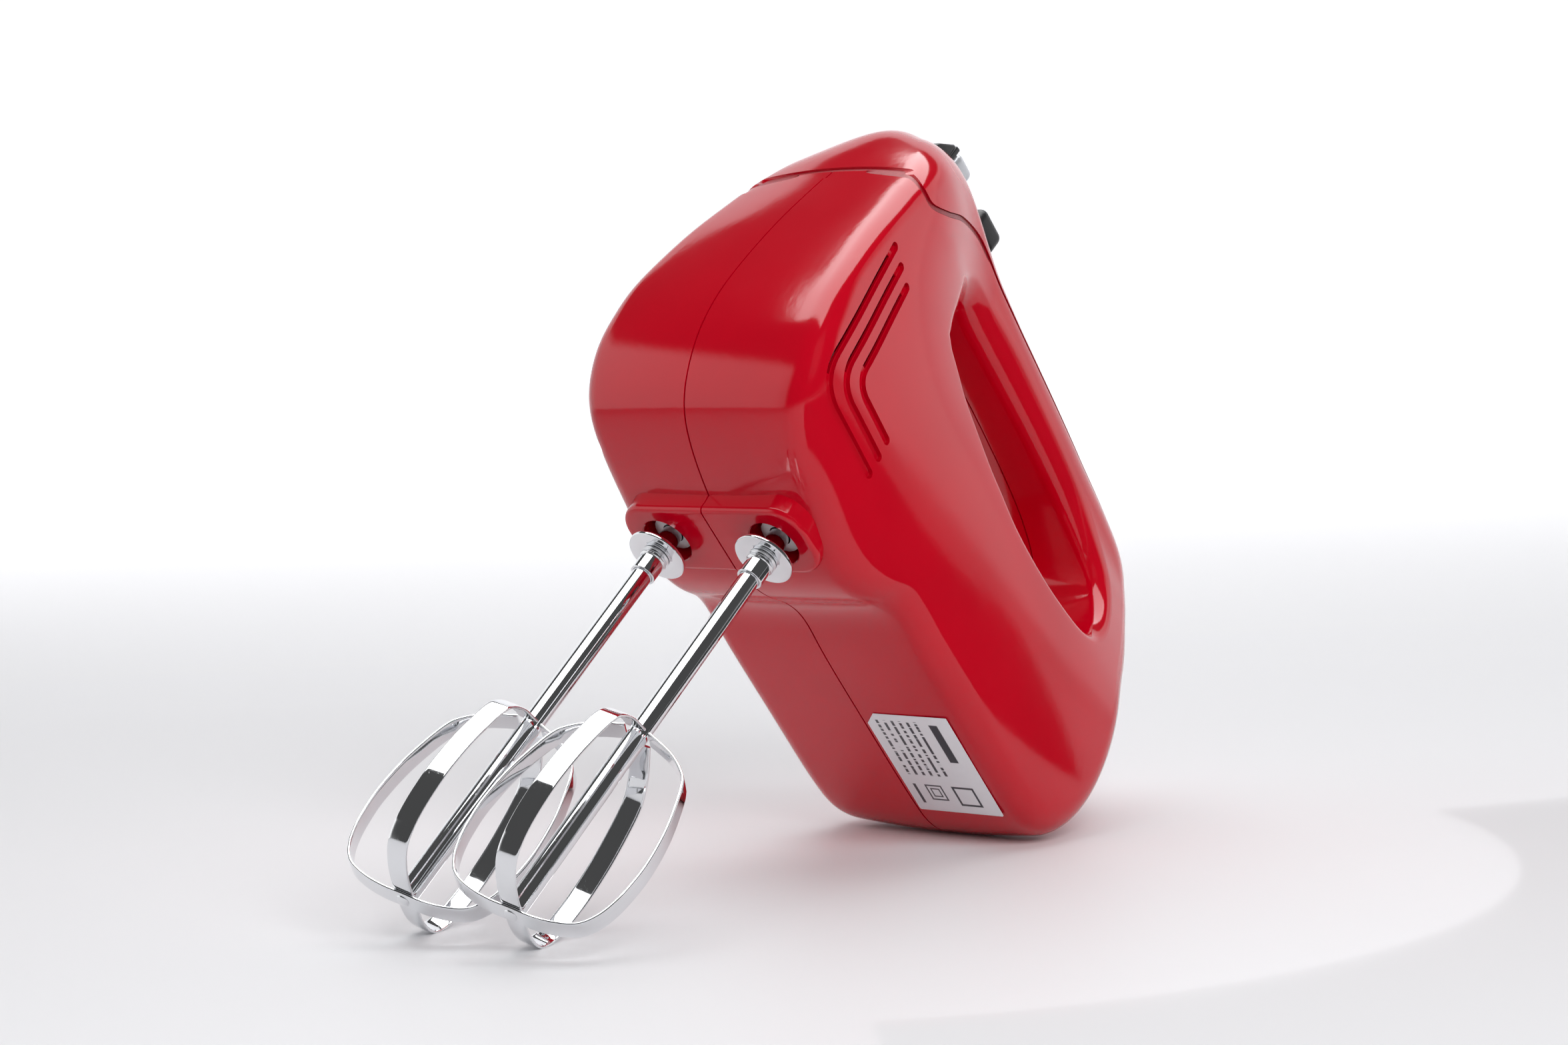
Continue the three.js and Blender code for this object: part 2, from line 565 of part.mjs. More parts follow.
// Strip centre line from the shaft's side at the top of a loop, out, down and in under the shaft.
function loopCurve(bottom) {
  const [half, top] = [LOOP_WIDTH / 2, -(BEATER_LENGTH - LOOP_HEIGHT)];
  const height = top - bottom;
  const share = [[0.13, 0], [0.5, 0.055], [0.72, 0.12], [0.81, 0.175], [0.89, 0.28], [0.965, 0.42],
    [1, 0.58], [0.985, 0.7], [0.945, 0.8], [0.87, 0.885], [0.74, 0.95], [0.52, 0.985], [0.26, 1]];
  const down = share.map(([r, drop]) => new THREE.Vector2(r * half, top - drop * height));
  const up = down.slice().reverse().map((p) => new THREE.Vector2(-p.x, p.y));
  return [...down, new THREE.Vector2(0, bottom), ...up];
}

// A flat strip bent along a line in the loop's own plane.
function loop(bottom, inset) {
  const line = loopCurve(bottom);
  line[0].x = SHAFT_DIAMETER / 2 + inset;
  line.at(-1).x = -line[0].x;
  const edge = (sign) => line.map((p, i) => {
    const before = line[Math.max(i - 1, 0)];
    const after = line[Math.min(i + 1, line.length - 1)];
    const run = after.clone().sub(before).normalize();
    const offset = (sign * STRIP_THICKNESS) / 2;
    return [p.x - run.y * offset, p.y + run.x * offset];
  });
  return sidePrism([...edge(1), ...edge(-1).reverse()], -STRIP_WIDTH / 2, STRIP_WIDTH / 2);
}

function addBeater(name, y) {
  const turn = THREE.MathUtils.degToRad(LOOP_TURN);
  const bottom = -BEATER_LENGTH + STRIP_THICKNESS / 2;
  const second = bottom + STRIP_THICKNESS + GAP;
  const shaftEnd = second + STRIP_THICKNESS / 2 + GAP;
  const place = (geometry) => geometry.translate(0, y, 0);
  const shaftLength = SHAFT_TOP - shaftEnd;
  add(`beater_shaft_${name}`, rod(SHAFT_DIAMETER / 2, shaftLength, "z", 0, y,
    shaftEnd + shaftLength / 2, 20), chrome);
  add(`beater_collar_${name}`, tube(COLLAR_DIAMETER / 2, SHAFT_DIAMETER / 2 + GAP, COLLAR_THICKNESS,
    "z", 0, y, 0, 28), chrome);
  add(`beater_hub_${name}`, tube(SHAFT_DIAMETER / 2 + HUB.wall, SHAFT_DIAMETER / 2 + GAP, HUB.length,
    "z", 0, y, -COLLAR_THICKNESS / 2 - GAP - HUB.length / 2, 20), chrome);
  add(`beater_loop_outer_${name}`, place(loop(bottom, 0.4).rotateZ(turn - Math.PI / 2)), chrome);
  add(`beater_loop_inner_${name}`, place(loop(second, 0.4).rotateZ(turn)), chrome);
  add(`beater_rivet_${name}`, rod(RIVET.radius, RIVET.height, "z", 0, y,
    -BEATER_LENGTH - GAP - RIVET.height / 2, 12), chrome);
}

// Controls

const trimFront = buttonPlace.x + BUTTON_LENGTH / 10;
const trimBottom = buttonPlace.z + BUTTON_RISE - TRIM_DEPTH;

function ejectButton() {
  const half = [BUTTON_LENGTH / 2, BUTTON_WIDTH / 2];
  const cap = solid(block([buttonPlace.x - half[0], -half[1], buttonPlace.z - BUTTON_DEPTH],
    [buttonPlace.x + half[0], half[1], buttonPlace.z + BUTTON_RISE]));
  const trim = solid(block([trimFront, -BUTTON_WIDTH, trimBottom], [FAR, BUTTON_WIDTH, FAR]));
  return cap.subtract(trim);
}

const ejectTrim = () => block([trimFront + GAP, -BUTTON_WIDTH / 2, trimBottom + GAP],
  [buttonPlace.x + BUTTON_LENGTH / 2, BUTTON_WIDTH / 2, buttonPlace.z + BUTTON_RISE]);

const YOKE = { low: 70, high: 74, rodX: -15, rodRadius: 2.5 };
const GUIDE_TOP = 119;
const GUIDE = { drawnHalf: 24.4, reach: 9, thickness: 3 };

function ejectYoke() {
  const top = buttonPlace.z - BUTTON_DEPTH - GAP;
  const stem = solid(rod(YOKE.rodRadius, top - YOKE.low, "z", YOKE.rodX, 0, (top + YOKE.low) / 2, 12));
  const half = SPINDLE_SPACING / 2;
  const bar = solid(block([-4, -half - 4, YOKE.low], [4, half + 4, YOKE.high]));
  const arm = solid(block([YOKE.rodX - 4, -5, YOKE.low], [0, 5, YOKE.high]));
  const pinBottom = SHAFT_TOP + EJECT_TRAVEL + 1;
  const pins = spindleSides.map((y) =>
    solid(rod(SHAFT_DIAMETER / 2 - 0.3, YOKE.high - pinBottom, "z", 0, y, (YOKE.high + pinBottom) / 2, 12)));
  return joined([stem, bar, arm, ...pins]);
}

function ejectGuide() {
  const half = widthwise(GUIDE.drawnHalf) - WALL;
  const shelf = solid(block([YOKE.rodX - GUIDE.reach, -half, GUIDE_TOP - GUIDE.thickness],
    [YOKE.rodX + GUIDE.reach, half, GUIDE_TOP]));
  return shelf.subtract(solid(rod(YOKE.rodRadius + GAP, 20, "z", YOKE.rodX, 0, GUIDE_TOP, 12)));
}

function coilSpring() {
  const [turns, wire, radius] = [4, 0.5, 4];
  const [low, high] = [GUIDE_TOP + wire + GAP, buttonPlace.z - BUTTON_DEPTH - wire - GAP];
  const centre = Array.from({ length: turns * 8 + 1 }, (_, i) => {
    const angle = (i * Math.PI) / 4;
    const z = THREE.MathUtils.lerp(low, high, i / (turns * 8));
    return new THREE.Vector3(YOKE.rodX + radius * Math.cos(angle), radius * Math.sin(angle), z);
  });
  const section = new THREE.Shape().absarc(0, 0, wire, 0, 2 * Math.PI);
  return new THREE.ExtrudeGeometry(section, { extrudePath: new THREE.CatmullRomCurve3(centre),
    steps: turns * 9, curveSegments: 3, bevelEnabled: false });
}

function speedSlider() {
  const knob = solid(block([sliderPlace.x - SLIDER_LENGTH / 2, -SLIDER_WIDTH / 2, sliderPlace.z],
    [sliderPlace.x + SLIDER_LENGTH / 2, SLIDER_WIDTH / 2, sliderPlace.z + SLIDER_RISE]));
  const stem = solid(block([sliderPlace.x - 2, -2, sliderPlace.z - 11],
    [sliderPlace.x + 2, 2, sliderPlace.z + 1]));
  return joined([knob, stem]);
}

const speedSwitch = () => block([sliderPlace.x - 6, -8, sliderPlace.z - 25],
  [sliderPlace.x + SLIDER_TRAVEL + 8, 8, sliderPlace.z - 13]);

function cordInletBush() {
  const body = solid(tube(cordInlet.radius, CORD_HOLE_DIAMETER / 2, 12, "x", cordInlet.x - 3, 0,
    cordInlet.z, 12));
  const flange = solid(tube(cordInlet.flange, CORD_HOLE_DIAMETER / 2, 2, "x", cordInlet.x + 2.6, 0,
    cordInlet.z, 12));
  return joined([body, flange]);
}

const LABEL = { length: 41, width: 31, corner: 1.2, thickness: 0.4, x: 98.5, y: -17 };

const ratingPlate = () => plate(roundedRectangle(LABEL.length, LABEL.width, LABEL.corner),
  UNDERSIDE - GAP - LABEL.thickness, UNDERSIDE - GAP, 2)
  .translate(lengthwise(LABEL.x), widthwise(LABEL.y), 0);

function screw(x, z) {
  const shank = solid(rod(SCREW_RADIUS, SCREW_SEAT + SCREW_REACH + 1, "y", x,
    (SCREW_SEAT + 1 - SCREW_REACH) / 2, z, 10));
  return joined([shank, solid(rod(SCREW_HEAD_RADIUS, 2.2, "y", x, SCREW_SEAT + GAP + 1.1, z, 12))]);
}

// Assembly
add("housing_left", housing(-1), redPlastic);
add("housing_right", housing(1), redPlastic);
add("top_cover", topCover(), redPlastic);
add("cover_seal", coverSeal(), darkRed);
add("rating_plate", ratingPlate(), labelWhite);
add("cord_inlet", cordInletBush(), blackPlastic);
add("eject_button", ejectButton(), blackPlastic);
add("eject_trim", ejectTrim(), chrome);
add("eject_yoke", ejectYoke(), nylon);
add("eject_guide", ejectGuide(), nylon);
add("eject_spring", coilSpring(), steel);
add("speed_slider", speedSlider(), blackPlastic);
add("speed_switch", speedSwitch(), blackPlastic);
add("armature_shaft", armatureShaft(), steel);
add("rotor_core", starOnDrive(8, 9, ROTOR_RADIUS, 0.72, MOTOR_START + GAP, STACK_LENGTH - 2 * GAP), iron);
add("rotor_winding_front", onDrive(9, shaftHole, MOTOR_START - 7, 7, 16), copper);
add("rotor_winding_rear", onDrive(9, shaftHole, stackEnd, 7, 16), copper);
add("commutator", onDrive(COMMUTATOR_RADIUS, shaftHole, stackEnd + 9, 12, 20), copper);
add("cooling_fan", starOnDrive(9, 7, 18.5, 0.25, fanStart, 7), blackPlastic);
add("stator_core", stator(), iron);
add("field_coil_upper", fieldCoil(1), copper);
add("field_coil_lower", fieldCoil(-1), copper);
add("motor_front_bracket", bracketPlate(27, 3, 7.3), steel);
add("motor_rear_bracket", bracketPlate(rearBracket, 3, 7.3), steel);
add("bearing_front", onDrive(7, shaftHole, 26, 5, 20), brass);
add("bearing_rear", onDrive(7, shaftHole, rearBracket - 1, 5, 20), brass);
add("bearing_worm_end", onDrive(7, shaftHole, -25, 5, 20), brass);
for (const [name, side] of [["left", -1], ["right", 1]]) {
  const y = (side * SPINDLE_SPACING) / 2;
  const toothTurn = side < 0 ? Math.PI / 2 + Math.PI / GEAR_TEETH : -Math.PI / 2;
  add(`brush_${name}`, brush(side), carbon);
  add(`brush_holder_${name}`, brushHolder(side), brass);
  add(`spindle_${name}`, spindle(y), steel);
  add(`spindle_gear_${name}`, gear(y, toothTurn), nylon);
  add(`bush_lower_${name}`, bush(y, 17.5), brass);
  add(`bush_upper_${name}`, bush(y, 53.5), brass);
  addBeater(name, y);
}
add("gearbox_plate_lower", gearboxPlate(18.5), steel);
add("gearbox_plate_upper", gearboxPlate(54.5), steel);
for (const [name, [x, z]] of Object.entries(SCREWS)) {
  add(`screw_${name}`, screw(lengthwise(x), z), steel);
}

// Tips the mixer about its width until the heel and the beaters are equally low, then puts the
// origin at the bottom centre of its box.
function standOnHeel() {
  const low = (names, tilt) => {
    const point = new THREE.Vector3();
    let lowest = Infinity;
    for (const mesh of mixer.children.filter(({ name }) => names.test(name))) {
      const places = mesh.geometry.getAttribute("position");
      for (let i = 0; i < places.count; i += 1) {
        point.fromBufferAttribute(places, i);
        lowest = Math.min(lowest, point.z * Math.cos(tilt) - point.x * Math.sin(tilt));
      }
    }
    return lowest;
  };
  let [least, most] = [20, 80].map(THREE.MathUtils.degToRad);
  for (let round = 0; round < 40; round += 1) {
    const middle = (least + most) / 2;
    if (low(/housing/, middle) > low(/beater/, middle)) least = middle;
    else most = middle;
  }
  mixer.rotation.y = least;
  const box = new THREE.Box3().setFromObject(mixer, true);
  mixer.position.set(-(box.min.x + box.max.x) / 2, -(box.min.y + box.max.y) / 2, -box.min.z);
}

standOnHeel();

export default mixer;
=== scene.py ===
"""Hand mixer: the visible pieces, finishes, lights and camera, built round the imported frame.

Shapes are worked out in the mixer's upright frame, in millimetres: the origin lies midway between
the two spindle axes at the height of the beater collars, X runs back to the heel, Y to the right of
someone holding the handle, and Z from the beaters up to the handle. place() then takes them to the
row frame, in metres, where the mixer stands tipped on its heel and its beaters.
"""
import json
import math

import bmesh
import bpy
import numpy as np
from bpy.props import FloatProperty, FloatVectorProperty, IntProperty, PointerProperty
from mathutils import Matrix, Vector


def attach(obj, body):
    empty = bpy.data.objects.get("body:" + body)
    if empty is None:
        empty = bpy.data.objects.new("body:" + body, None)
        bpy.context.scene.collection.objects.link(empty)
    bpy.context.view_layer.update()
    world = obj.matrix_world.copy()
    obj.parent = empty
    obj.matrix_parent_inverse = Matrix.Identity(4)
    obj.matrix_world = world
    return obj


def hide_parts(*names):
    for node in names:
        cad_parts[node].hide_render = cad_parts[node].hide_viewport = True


bl_info = {
    "name": "Hand mixer looks",
    "version": (1, 0, 0),
    "blender": (4, 5, 0),
    "location": "View3D > Sidebar > Mixer",
    "description": "Builds the visible pieces of a hand mixer round its packed frame",
    "category": "Add Mesh",
}

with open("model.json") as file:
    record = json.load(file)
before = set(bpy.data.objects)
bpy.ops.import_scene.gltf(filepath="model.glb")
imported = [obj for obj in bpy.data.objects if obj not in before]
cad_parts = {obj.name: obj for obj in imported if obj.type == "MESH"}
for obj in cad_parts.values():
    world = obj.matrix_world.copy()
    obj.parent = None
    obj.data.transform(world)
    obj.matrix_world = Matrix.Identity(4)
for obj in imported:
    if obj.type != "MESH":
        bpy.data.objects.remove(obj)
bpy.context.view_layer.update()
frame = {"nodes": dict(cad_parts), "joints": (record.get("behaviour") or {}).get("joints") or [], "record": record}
JOINTS = {joint["name"]: joint for joint in frame["joints"]}
SLOT_OF = {row["node"]: row["material_slot"] for row in frame["record"]["subparts"]}

# The upright frame, read from the joints
SPINDLES = [np.array(JOINTS[f"spindle_{side}_spin"]["pos_m"]) for side in ("left", "right")]
ORIGIN = (SPINDLES[0] + SPINDLES[1]) / 2
UP = np.array(JOINTS["spindle_left_spin"]["axis"])
BACK = np.array(JOINTS["motor_spin"]["axis"])
ACROSS = np.cross(UP, BACK)
SPACING = 1000 * np.linalg.norm(SPINDLES[1] - SPINDLES[0])
MILLIMETRE = 0.001

SIDES = {"left": -1, "right": 1}
SHARP = math.radians(35)
# Points closer than this are one, and edges shorter than the second are dropped, in metres
WELD = 1e-6
SLIVER = 1e-7


def place(points):
    """Upright millimetres to row-frame metres: the origin plus x back, y across and z up."""
    axes = np.stack([BACK, ACROSS, UP])
    return ORIGIN + MILLIMETRE * np.asarray(points, float) @ axes


# ---------------------------------------------------------------- meshes

def grid_faces(rows, columns, wrap_rows=False, wrap_columns=False):
    """Quads between neighbouring rows and columns of a grid, joined round where it wraps."""
    i = np.arange(rows if wrap_rows else rows - 1)[:, None]
    j = np.arange(columns if wrap_columns else columns - 1)[None, :]
    below, beside = (i + 1) % rows, (j + 1) % columns
    corners = [i * columns + j, below * columns + j, below * columns + beside, i * columns + beside]
    return np.stack(np.broadcast_arrays(*corners), -1).reshape(-1, 4)


def capped(rings):
    """Rings of points joined into a tube, with a flat face over each end."""
    rings = np.asarray(rings, float)
    rows, columns = rings.shape[:2]
    faces = grid_faces(rows, columns, wrap_columns=True).tolist()
    faces += [list(range(columns)), list(range(rows * columns - 1, (rows - 1) * columns - 1, -1))]
    return rings.reshape(-1, 3), faces


def read(rows, key, width, kind=np.float32):
    """One property of every row of a mesh's collection, as an array of that width."""
    values = np.empty(len(rows) * width, kind)
    rows.foreach_get(key, values)
    return values.reshape(-1, width)


def signed_volume(mesh):
    """Six times the volume inside a closed mesh: negative where its faces point inwards."""
    mesh.calc_loop_triangles()
    spots = read(mesh.vertices, "co", 3).astype(float)
    a, b, c = spots[read(mesh.loop_triangles, "vertices", 3, np.int32)].transpose(1, 0, 2)
    return float(np.einsum("ij,ij->i", a, np.cross(b, c)).sum())


def shade(mesh):
    """Smooth shading, with the edges kept where faces turn by more than the limit."""
    mesh.shade_smooth()
    mesh.set_sharp_from_angle(angle=SHARP)


def link(name, data):
    """A new object in the scene."""
    thing = bpy.data.objects.new(name, data)
    bpy.context.scene.collection.objects.link(thing)
    return thing


def make_object(name, points, faces):
    """A mesh object in the row frame with doubles merged and its faces turned outwards."""
    mesh = bpy.data.meshes.new(name)
    mesh.from_pydata(place(points).tolist(), [], [list(map(int, face)) for face in faces])
    work = bmesh.new()
    work.from_mesh(mesh)
    bmesh.ops.remove_doubles(work, verts=work.verts, dist=WELD)
    bmesh.ops.dissolve_degenerate(work, edges=work.edges, dist=SLIVER)
    bmesh.ops.recalc_face_normals(work, faces=work.faces)
    work.to_mesh(mesh)
    work.free()
    if signed_volume(mesh) < 0:
        mesh.flip_normals()
    shade(mesh)
    return link(name, mesh)


def combine(target, tool, operation):
    """Cuts, joins or crosses target with tool, applies it and throws the tool away."""
    change = target.modifiers.new("combine", "BOOLEAN")
    change.operation, change.object, change.solver = operation, tool, "MANIFOLD"
    seen = target.evaluated_get(bpy.context.evaluated_depsgraph_get())
    result = bpy.data.meshes.new_from_object(seen)
    target.modifiers.clear()
    old = target.data
    target.data = result
    result.name = target.name
    bpy.data.meshes.remove(old)
    bpy.data.objects.remove(tool)
    return target


def copy_of(thing, name):
    return link(name, thing.data.copy())


def shade_like(thing, smooth_body, reach=0.03):
    """Takes shading normals from the uncut body wherever a face still lies on it, so that cuts leave
    no ripples in the gloss; walls of cuts keep their own."""
    mesh = thing.data
    shade(mesh)
    own = read(mesh.corner_normals, "vector", 3)
    borrow = thing.modifiers.new("borrow", "DATA_TRANSFER")
    borrow.object, borrow.use_loop_data = smooth_body, True
    borrow.data_types_loops, borrow.loop_mapping = {"CUSTOM_NORMAL"}, "POLYINTERP_NEAREST"
    borrow.use_max_distance, borrow.max_distance = True, reach * MILLIMETRE
    seen = thing.evaluated_get(bpy.context.evaluated_depsgraph_get())
    lent = read(seen.to_mesh().corner_normals, "vector", 3)
    seen.to_mesh_clear()
    thing.modifiers.clear()
    counts = read(mesh.polygons, "loop_total", 1, np.int32)[:, 0]
    flat = np.repeat(read(mesh.polygons, "normal", 3), counts, axis=0)
    fits = np.einsum("ij,ij->i", flat, lent) > math.cos(SHARP)
    mesh.normals_split_custom_set(np.where(fits[:, None], lent, own).tolist())


# ---------------------------------------------------------------- the body's surface

# Stations round the side view, each from the outline to the edge of the finger opening:
# outline x, z, opening x, z, outline corner radius and crown, opening corner radius and crown
STATIONS = np.array([
    (-52, 60, 0.5, 93.5, 6.5, 1.7, 6, 0.5),
    (-51, 80, 0, 98, 6.5, 1.7, 6, 0.5),
    (-49, 96, 0.5, 103, 7, 1.7, 6, 0.5),
    (-46.4, 112, 1.5, 107.5, 7.5, 1.7, 7, 0.5),
    (-44.5, 126, 3.5, 111, 10, 2.5, 9, 0.5),
    (-40.5, 138.5, 6, 113, 14, 3, 10, 0.5),
    (-31, 146.4, 9.5, 114.3, 14, 3, 11, 0.7),
    (-12, 147, 15, 115, 13, 3, 12, 1),
    (18, 144.3, 28, 115.3, 12, 3, 12, 1),
    (52, 141.6, 54, 114.8, 12, 3, 11, 1),
    (84, 139, 82, 112.5, 12, 3, 10, 1),
    (108, 136.4, 98, 109, 12, 3, 9, 1),
    (124, 132.5, 106, 105, 12, 3, 8, 1),
    (133, 125, 109.5, 100, 13, 3, 7, 1),
    (137, 113, 111, 94, 14, 3, 6, 0.5),
    (140.3, 96, 110.5, 88, 14, 3, 5, 0.5),
    (141.2, 78, 108, 82, 14, 3, 4, 0.5),
    (143.6, 57, 104, 78, 14, 3, 3, 0.5),
    (143.6, 38, 98, 75.6, 14, 2, 3, 0.5),
    (138.6, 24.5, 92, 74.4, 12, 1.5, 3, 0.5),
    (128.5, 17.5, 86, 73.5, 8, 1, 3, 0.5),
    (114, 16.0, 78, 72.6, 7, 0.2, 3, 0.5),
    (85, 16.0, 66, 72.3, 7, 0.2, 3, 0.5),
    (56, 16.2, 54, 73, 7, 0.2, 3, 0.5),
    (41, 17, 44, 75, 7, 0.3, 3, 0.5),
    (32, 14.4, 36, 76.5, 9, 0.5, 3, 0.5),
    (24, 9.4, 29, 78.5, 9, 0.7, 3, 0.5),
    (12, 6.4, 22, 80.8, 9, 0.7, 3, 0.5),
    (-6, 9.8, 14, 83.6, 9, 1, 3, 0.5),
    (-24, 13.6, 7, 87, 9, 1, 3, 0.5),
    (-38, 20, 2, 89.5, 8, 1.5, 4, 0.5),
    (-47, 33, 0.5, 91.6, 8, 2, 5, 0.5),
    (-51, 46, 0.3, 92.5, 8, 2, 6, 0.5),
])
# Half-widths by height, of the head in front and of the tail and handle behind
HEAD_WIDTHS = np.array([(0, 38), (20, 42), (35, 43.5), (50, 42.5), (70, 40), (85, 38.2),
                        (100, 36), (112, 34), (122, 31), (132, 26), (142, 20), (150, 17)])
TAIL_WIDTHS = np.array([(0, 37), (15, 40.5), (28, 42.5), (45, 42.5), (60, 41), (72, 38.5),
                        (85, 34), (97, 29), (108, 24), (118, 19.5), (128, 17.2), (150, 16.5)])
HEAD_TO_TAIL = (-38, 20)
WALL = 2.4
SMALLEST_CORNER = 0.8
# The crown's slope where it meets the corner is taken over this half-width
TYPICAL_HALF_WIDTH = 36
# Rings first drawn for each one kept, and how far the stations are blurred together, in stations
OVERSAMPLE = 4
RING_BLUR = 0.22
# The joint between the cover and the shell, front to rear in the side view
SEAM = np.array([(-60, 114), (-45.5, 113.8), (-44, 110.5), (-41, 107.8), (-36, 107.6), (-28, 114),
                 (-18.8, 123.3), (-7.3, 131.7), (3, 134.8), (20, 135.3), (60, 133.4), (100, 130.5),
                 (124, 128.2), (150, 126)])
SEAM_WIDTH = 1.5
SEAL_INSET = 0.6
SEAL_GAP = 0.12
# The step below it, where a shallow band runs round under the cover
STEP = np.array([(-60, 108.6), (-47.4, 108.2), (-46.2, 105.2), (-44, 101), (-39.8, 98.7), (-32.3, 100.4),
                 (-24.2, 107.4), (-11.7, 121.5), (-1.1, 130.1), (5.8, 133.4), (14, 134.9), (30, 135.2)])
STEP_DEPTH = 0.45
FAR = 90
OUTSIDE = 60
LINE_STEPS = 260


def hermite(table, at):
    """Smooth curve through a table's points: cubic pieces that share the slopes of their ends."""
    x, y = table[:, 0], table[:, 1]
    slope = np.gradient(y, x)
    at = np.clip(at, x[0], x[-1])
    i = np.clip(np.searchsorted(x, at) - 1, 0, len(x) - 2)
    h = x[i + 1] - x[i]
    t = (at - x[i]) / h
    return ((1 + 2 * t) * (1 - t) ** 2 * y[i] + t * (1 - t) ** 2 * h * slope[i]
            + t * t * (3 - 2 * t) * y[i + 1] + t * t * (t - 1) * h * slope[i + 1])


def half_width(x, z):
    """Head widths blended into tail widths along X by a smooth step."""
    t = np.clip((x - HEAD_TO_TAIL[0]) / (HEAD_TO_TAIL[1] - HEAD_TO_TAIL[0]), 0, 1)
    blend = t * t * (3 - 2 * t)
    return hermite(HEAD_WIDTHS, z) * (1 - blend) + hermite(TAIL_WIDTHS, z) * blend


def catmull(points, at, closed):
    """Catmull-Rom curve through points at places counted in points."""
    count = len(points)
    first = np.floor(at).astype(int)
    t = (at - first)[:, None]
    reach = [first + k for k in (-1, 0, 1, 2)]
    reach = [k % count if closed else np.clip(k, 0, count - 1) for k in reach]
    a, b, c, d = (points[k] for k in reach)
    return 0.5 * (2 * b + (c - a) * t + (2 * a - 5 * b + 4 * c - d) * t ** 2
                  + (3 * b - a - 3 * c + d) * t ** 3)


def smooth_ring(values, spread):
    """A closed row of values with its fine wiggles taken out: a Gaussian blur by Fourier series."""
    waves = np.fft.rfftfreq(len(values))[:, None]
    return np.fft.irfft(np.fft.rfft(values, axis=0) * np.exp(-2 * (np.pi * waves * spread) ** 2),
                        len(values), axis=0)


def body_rings(inset=0.0, around=440, flat=10, corner=12, side=30):
    """Body surface over (place round the ring, way across): each ring runs from the outline over a
    crowned flat, a round corner, the side and a second corner to the finger opening, on the left,
    and back the same way on the right. The side's y is the half-width at that point less the drop."""
    dense = OVERSAMPLE * around
    rows = catmull(STATIONS, np.arange(dense) * len(STATIONS) / dense, closed=True)
    rows = smooth_ring(rows, RING_BLUR * dense / len(STATIONS))[::OVERSAMPLE]
    outline, opening = rows[:, 0:2], rows[:, 2:4]
    span = np.linalg.norm(opening - outline, axis=1)
    inward = (opening - outline) / span[:, None]
    span = span - 2 * inset
    radius, crown, edge_radius, edge_crown = rows[:, 4:].T
    radius = np.maximum(radius - inset, SMALLEST_CORNER)
    edge_radius = np.maximum(edge_radius - inset, SMALLEST_CORNER)
    fit = np.minimum(1, (span - SMALLEST_CORNER) / (radius + crown + edge_radius + edge_crown))
    radius, crown, edge_radius, edge_crown = (v * fit for v in (radius, crown, edge_radius, edge_crown))
    columns = []
    for bulge, size, from_outline in ((crown, radius, True), (edge_crown, edge_radius, False)):
        start = np.arctan(2 * bulge / (TYPICAL_HALF_WIDTH - size))
        part = [(bulge * s ** 2, s + 0 * bulge, size * (1 - np.sin(start)))
                for s in np.linspace(0, 1, flat, endpoint=False)]
        for s in np.linspace(0, 1, corner):
            turn = start + s * (np.pi / 2 - start)
            part.append((bulge + size * (np.cos(start) - np.cos(turn)), 1 + 0 * bulge,
                         size * (1 - np.sin(turn))))
        if from_outline:
            columns += part
            reached = part[-1][0]
        else:
            left = span - part[-1][0]
            columns += [(reached * (1 - s) + left * s, 1 + 0 * bulge, 0 * bulge)
                        for s in np.linspace(0, 1, side + 2)[1:-1]]
            columns += [(span - depth, share, drop) for depth, share, drop in part[::-1]]
    depth, share, drop = np.array(columns).transpose(1, 2, 0)
    x = outline[:, None, 0] + inward[:, None, 0] * (inset + depth)
    z = outline[:, None, 1] + inward[:, None, 1] * (inset + depth)
    y = (half_width(x, z) - inset - drop) * share
    left_side = np.stack([x, -y, z], -1)
    right_side = np.stack([x, y, z], -1)[:, -2:0:-1]
    return np.concatenate([left_side, right_side], axis=1)


def body_object(name, inset=0.0, **counts):
    rings = body_rings(inset, **counts)
    return make_object(name, rings.reshape(-1, 3), grid_faces(*rings.shape[:2], True, True))


def lining(name, inset):
    """The body's surface at a depth, in fewer steps because little of it shows."""
    return body_object(name, inset, around=200, flat=6, corner=5, side=12)


# ---------------------------------------------------------------- simple shapes

def side_prism(outline, y_low, y_high):
    """An outline of the side view, as x and z, carried across the body."""
    outline = np.asarray(outline, float)
    return capped([np.insert(outline, 1, y, axis=1) for y in (y_low, y_high)])


def box_shape(low, high):
    (x0, y0, z0), (x1, y1, z1) = low, high
    return side_prism([(x0, z0), (x1, z0), (x1, z1), (x0, z1)], y0, y1)


def revolved(profile, centre, axis="z", sides=72):
    """A closed profile of radius and height turned about an axis through centre."""
    profile = np.asarray(profile, float)
    turn = np.arange(sides) * 2 * np.pi / sides
    r, h = profile[:, 0], profile[:, 1]
    a, b = np.cos(turn)[:, None] * r, np.sin(turn)[:, None] * r
    high = np.broadcast_to(h, a.shape)
    order = {"x": (high, a, b), "y": (b, high, a), "z": (a, b, high)}[axis]
    points = np.stack(order, -1) + np.asarray(centre, float)
    closed = r[0] > 0 or r[-1] > 0
    return points.reshape(-1, 3), grid_faces(sides, len(profile), True, closed)


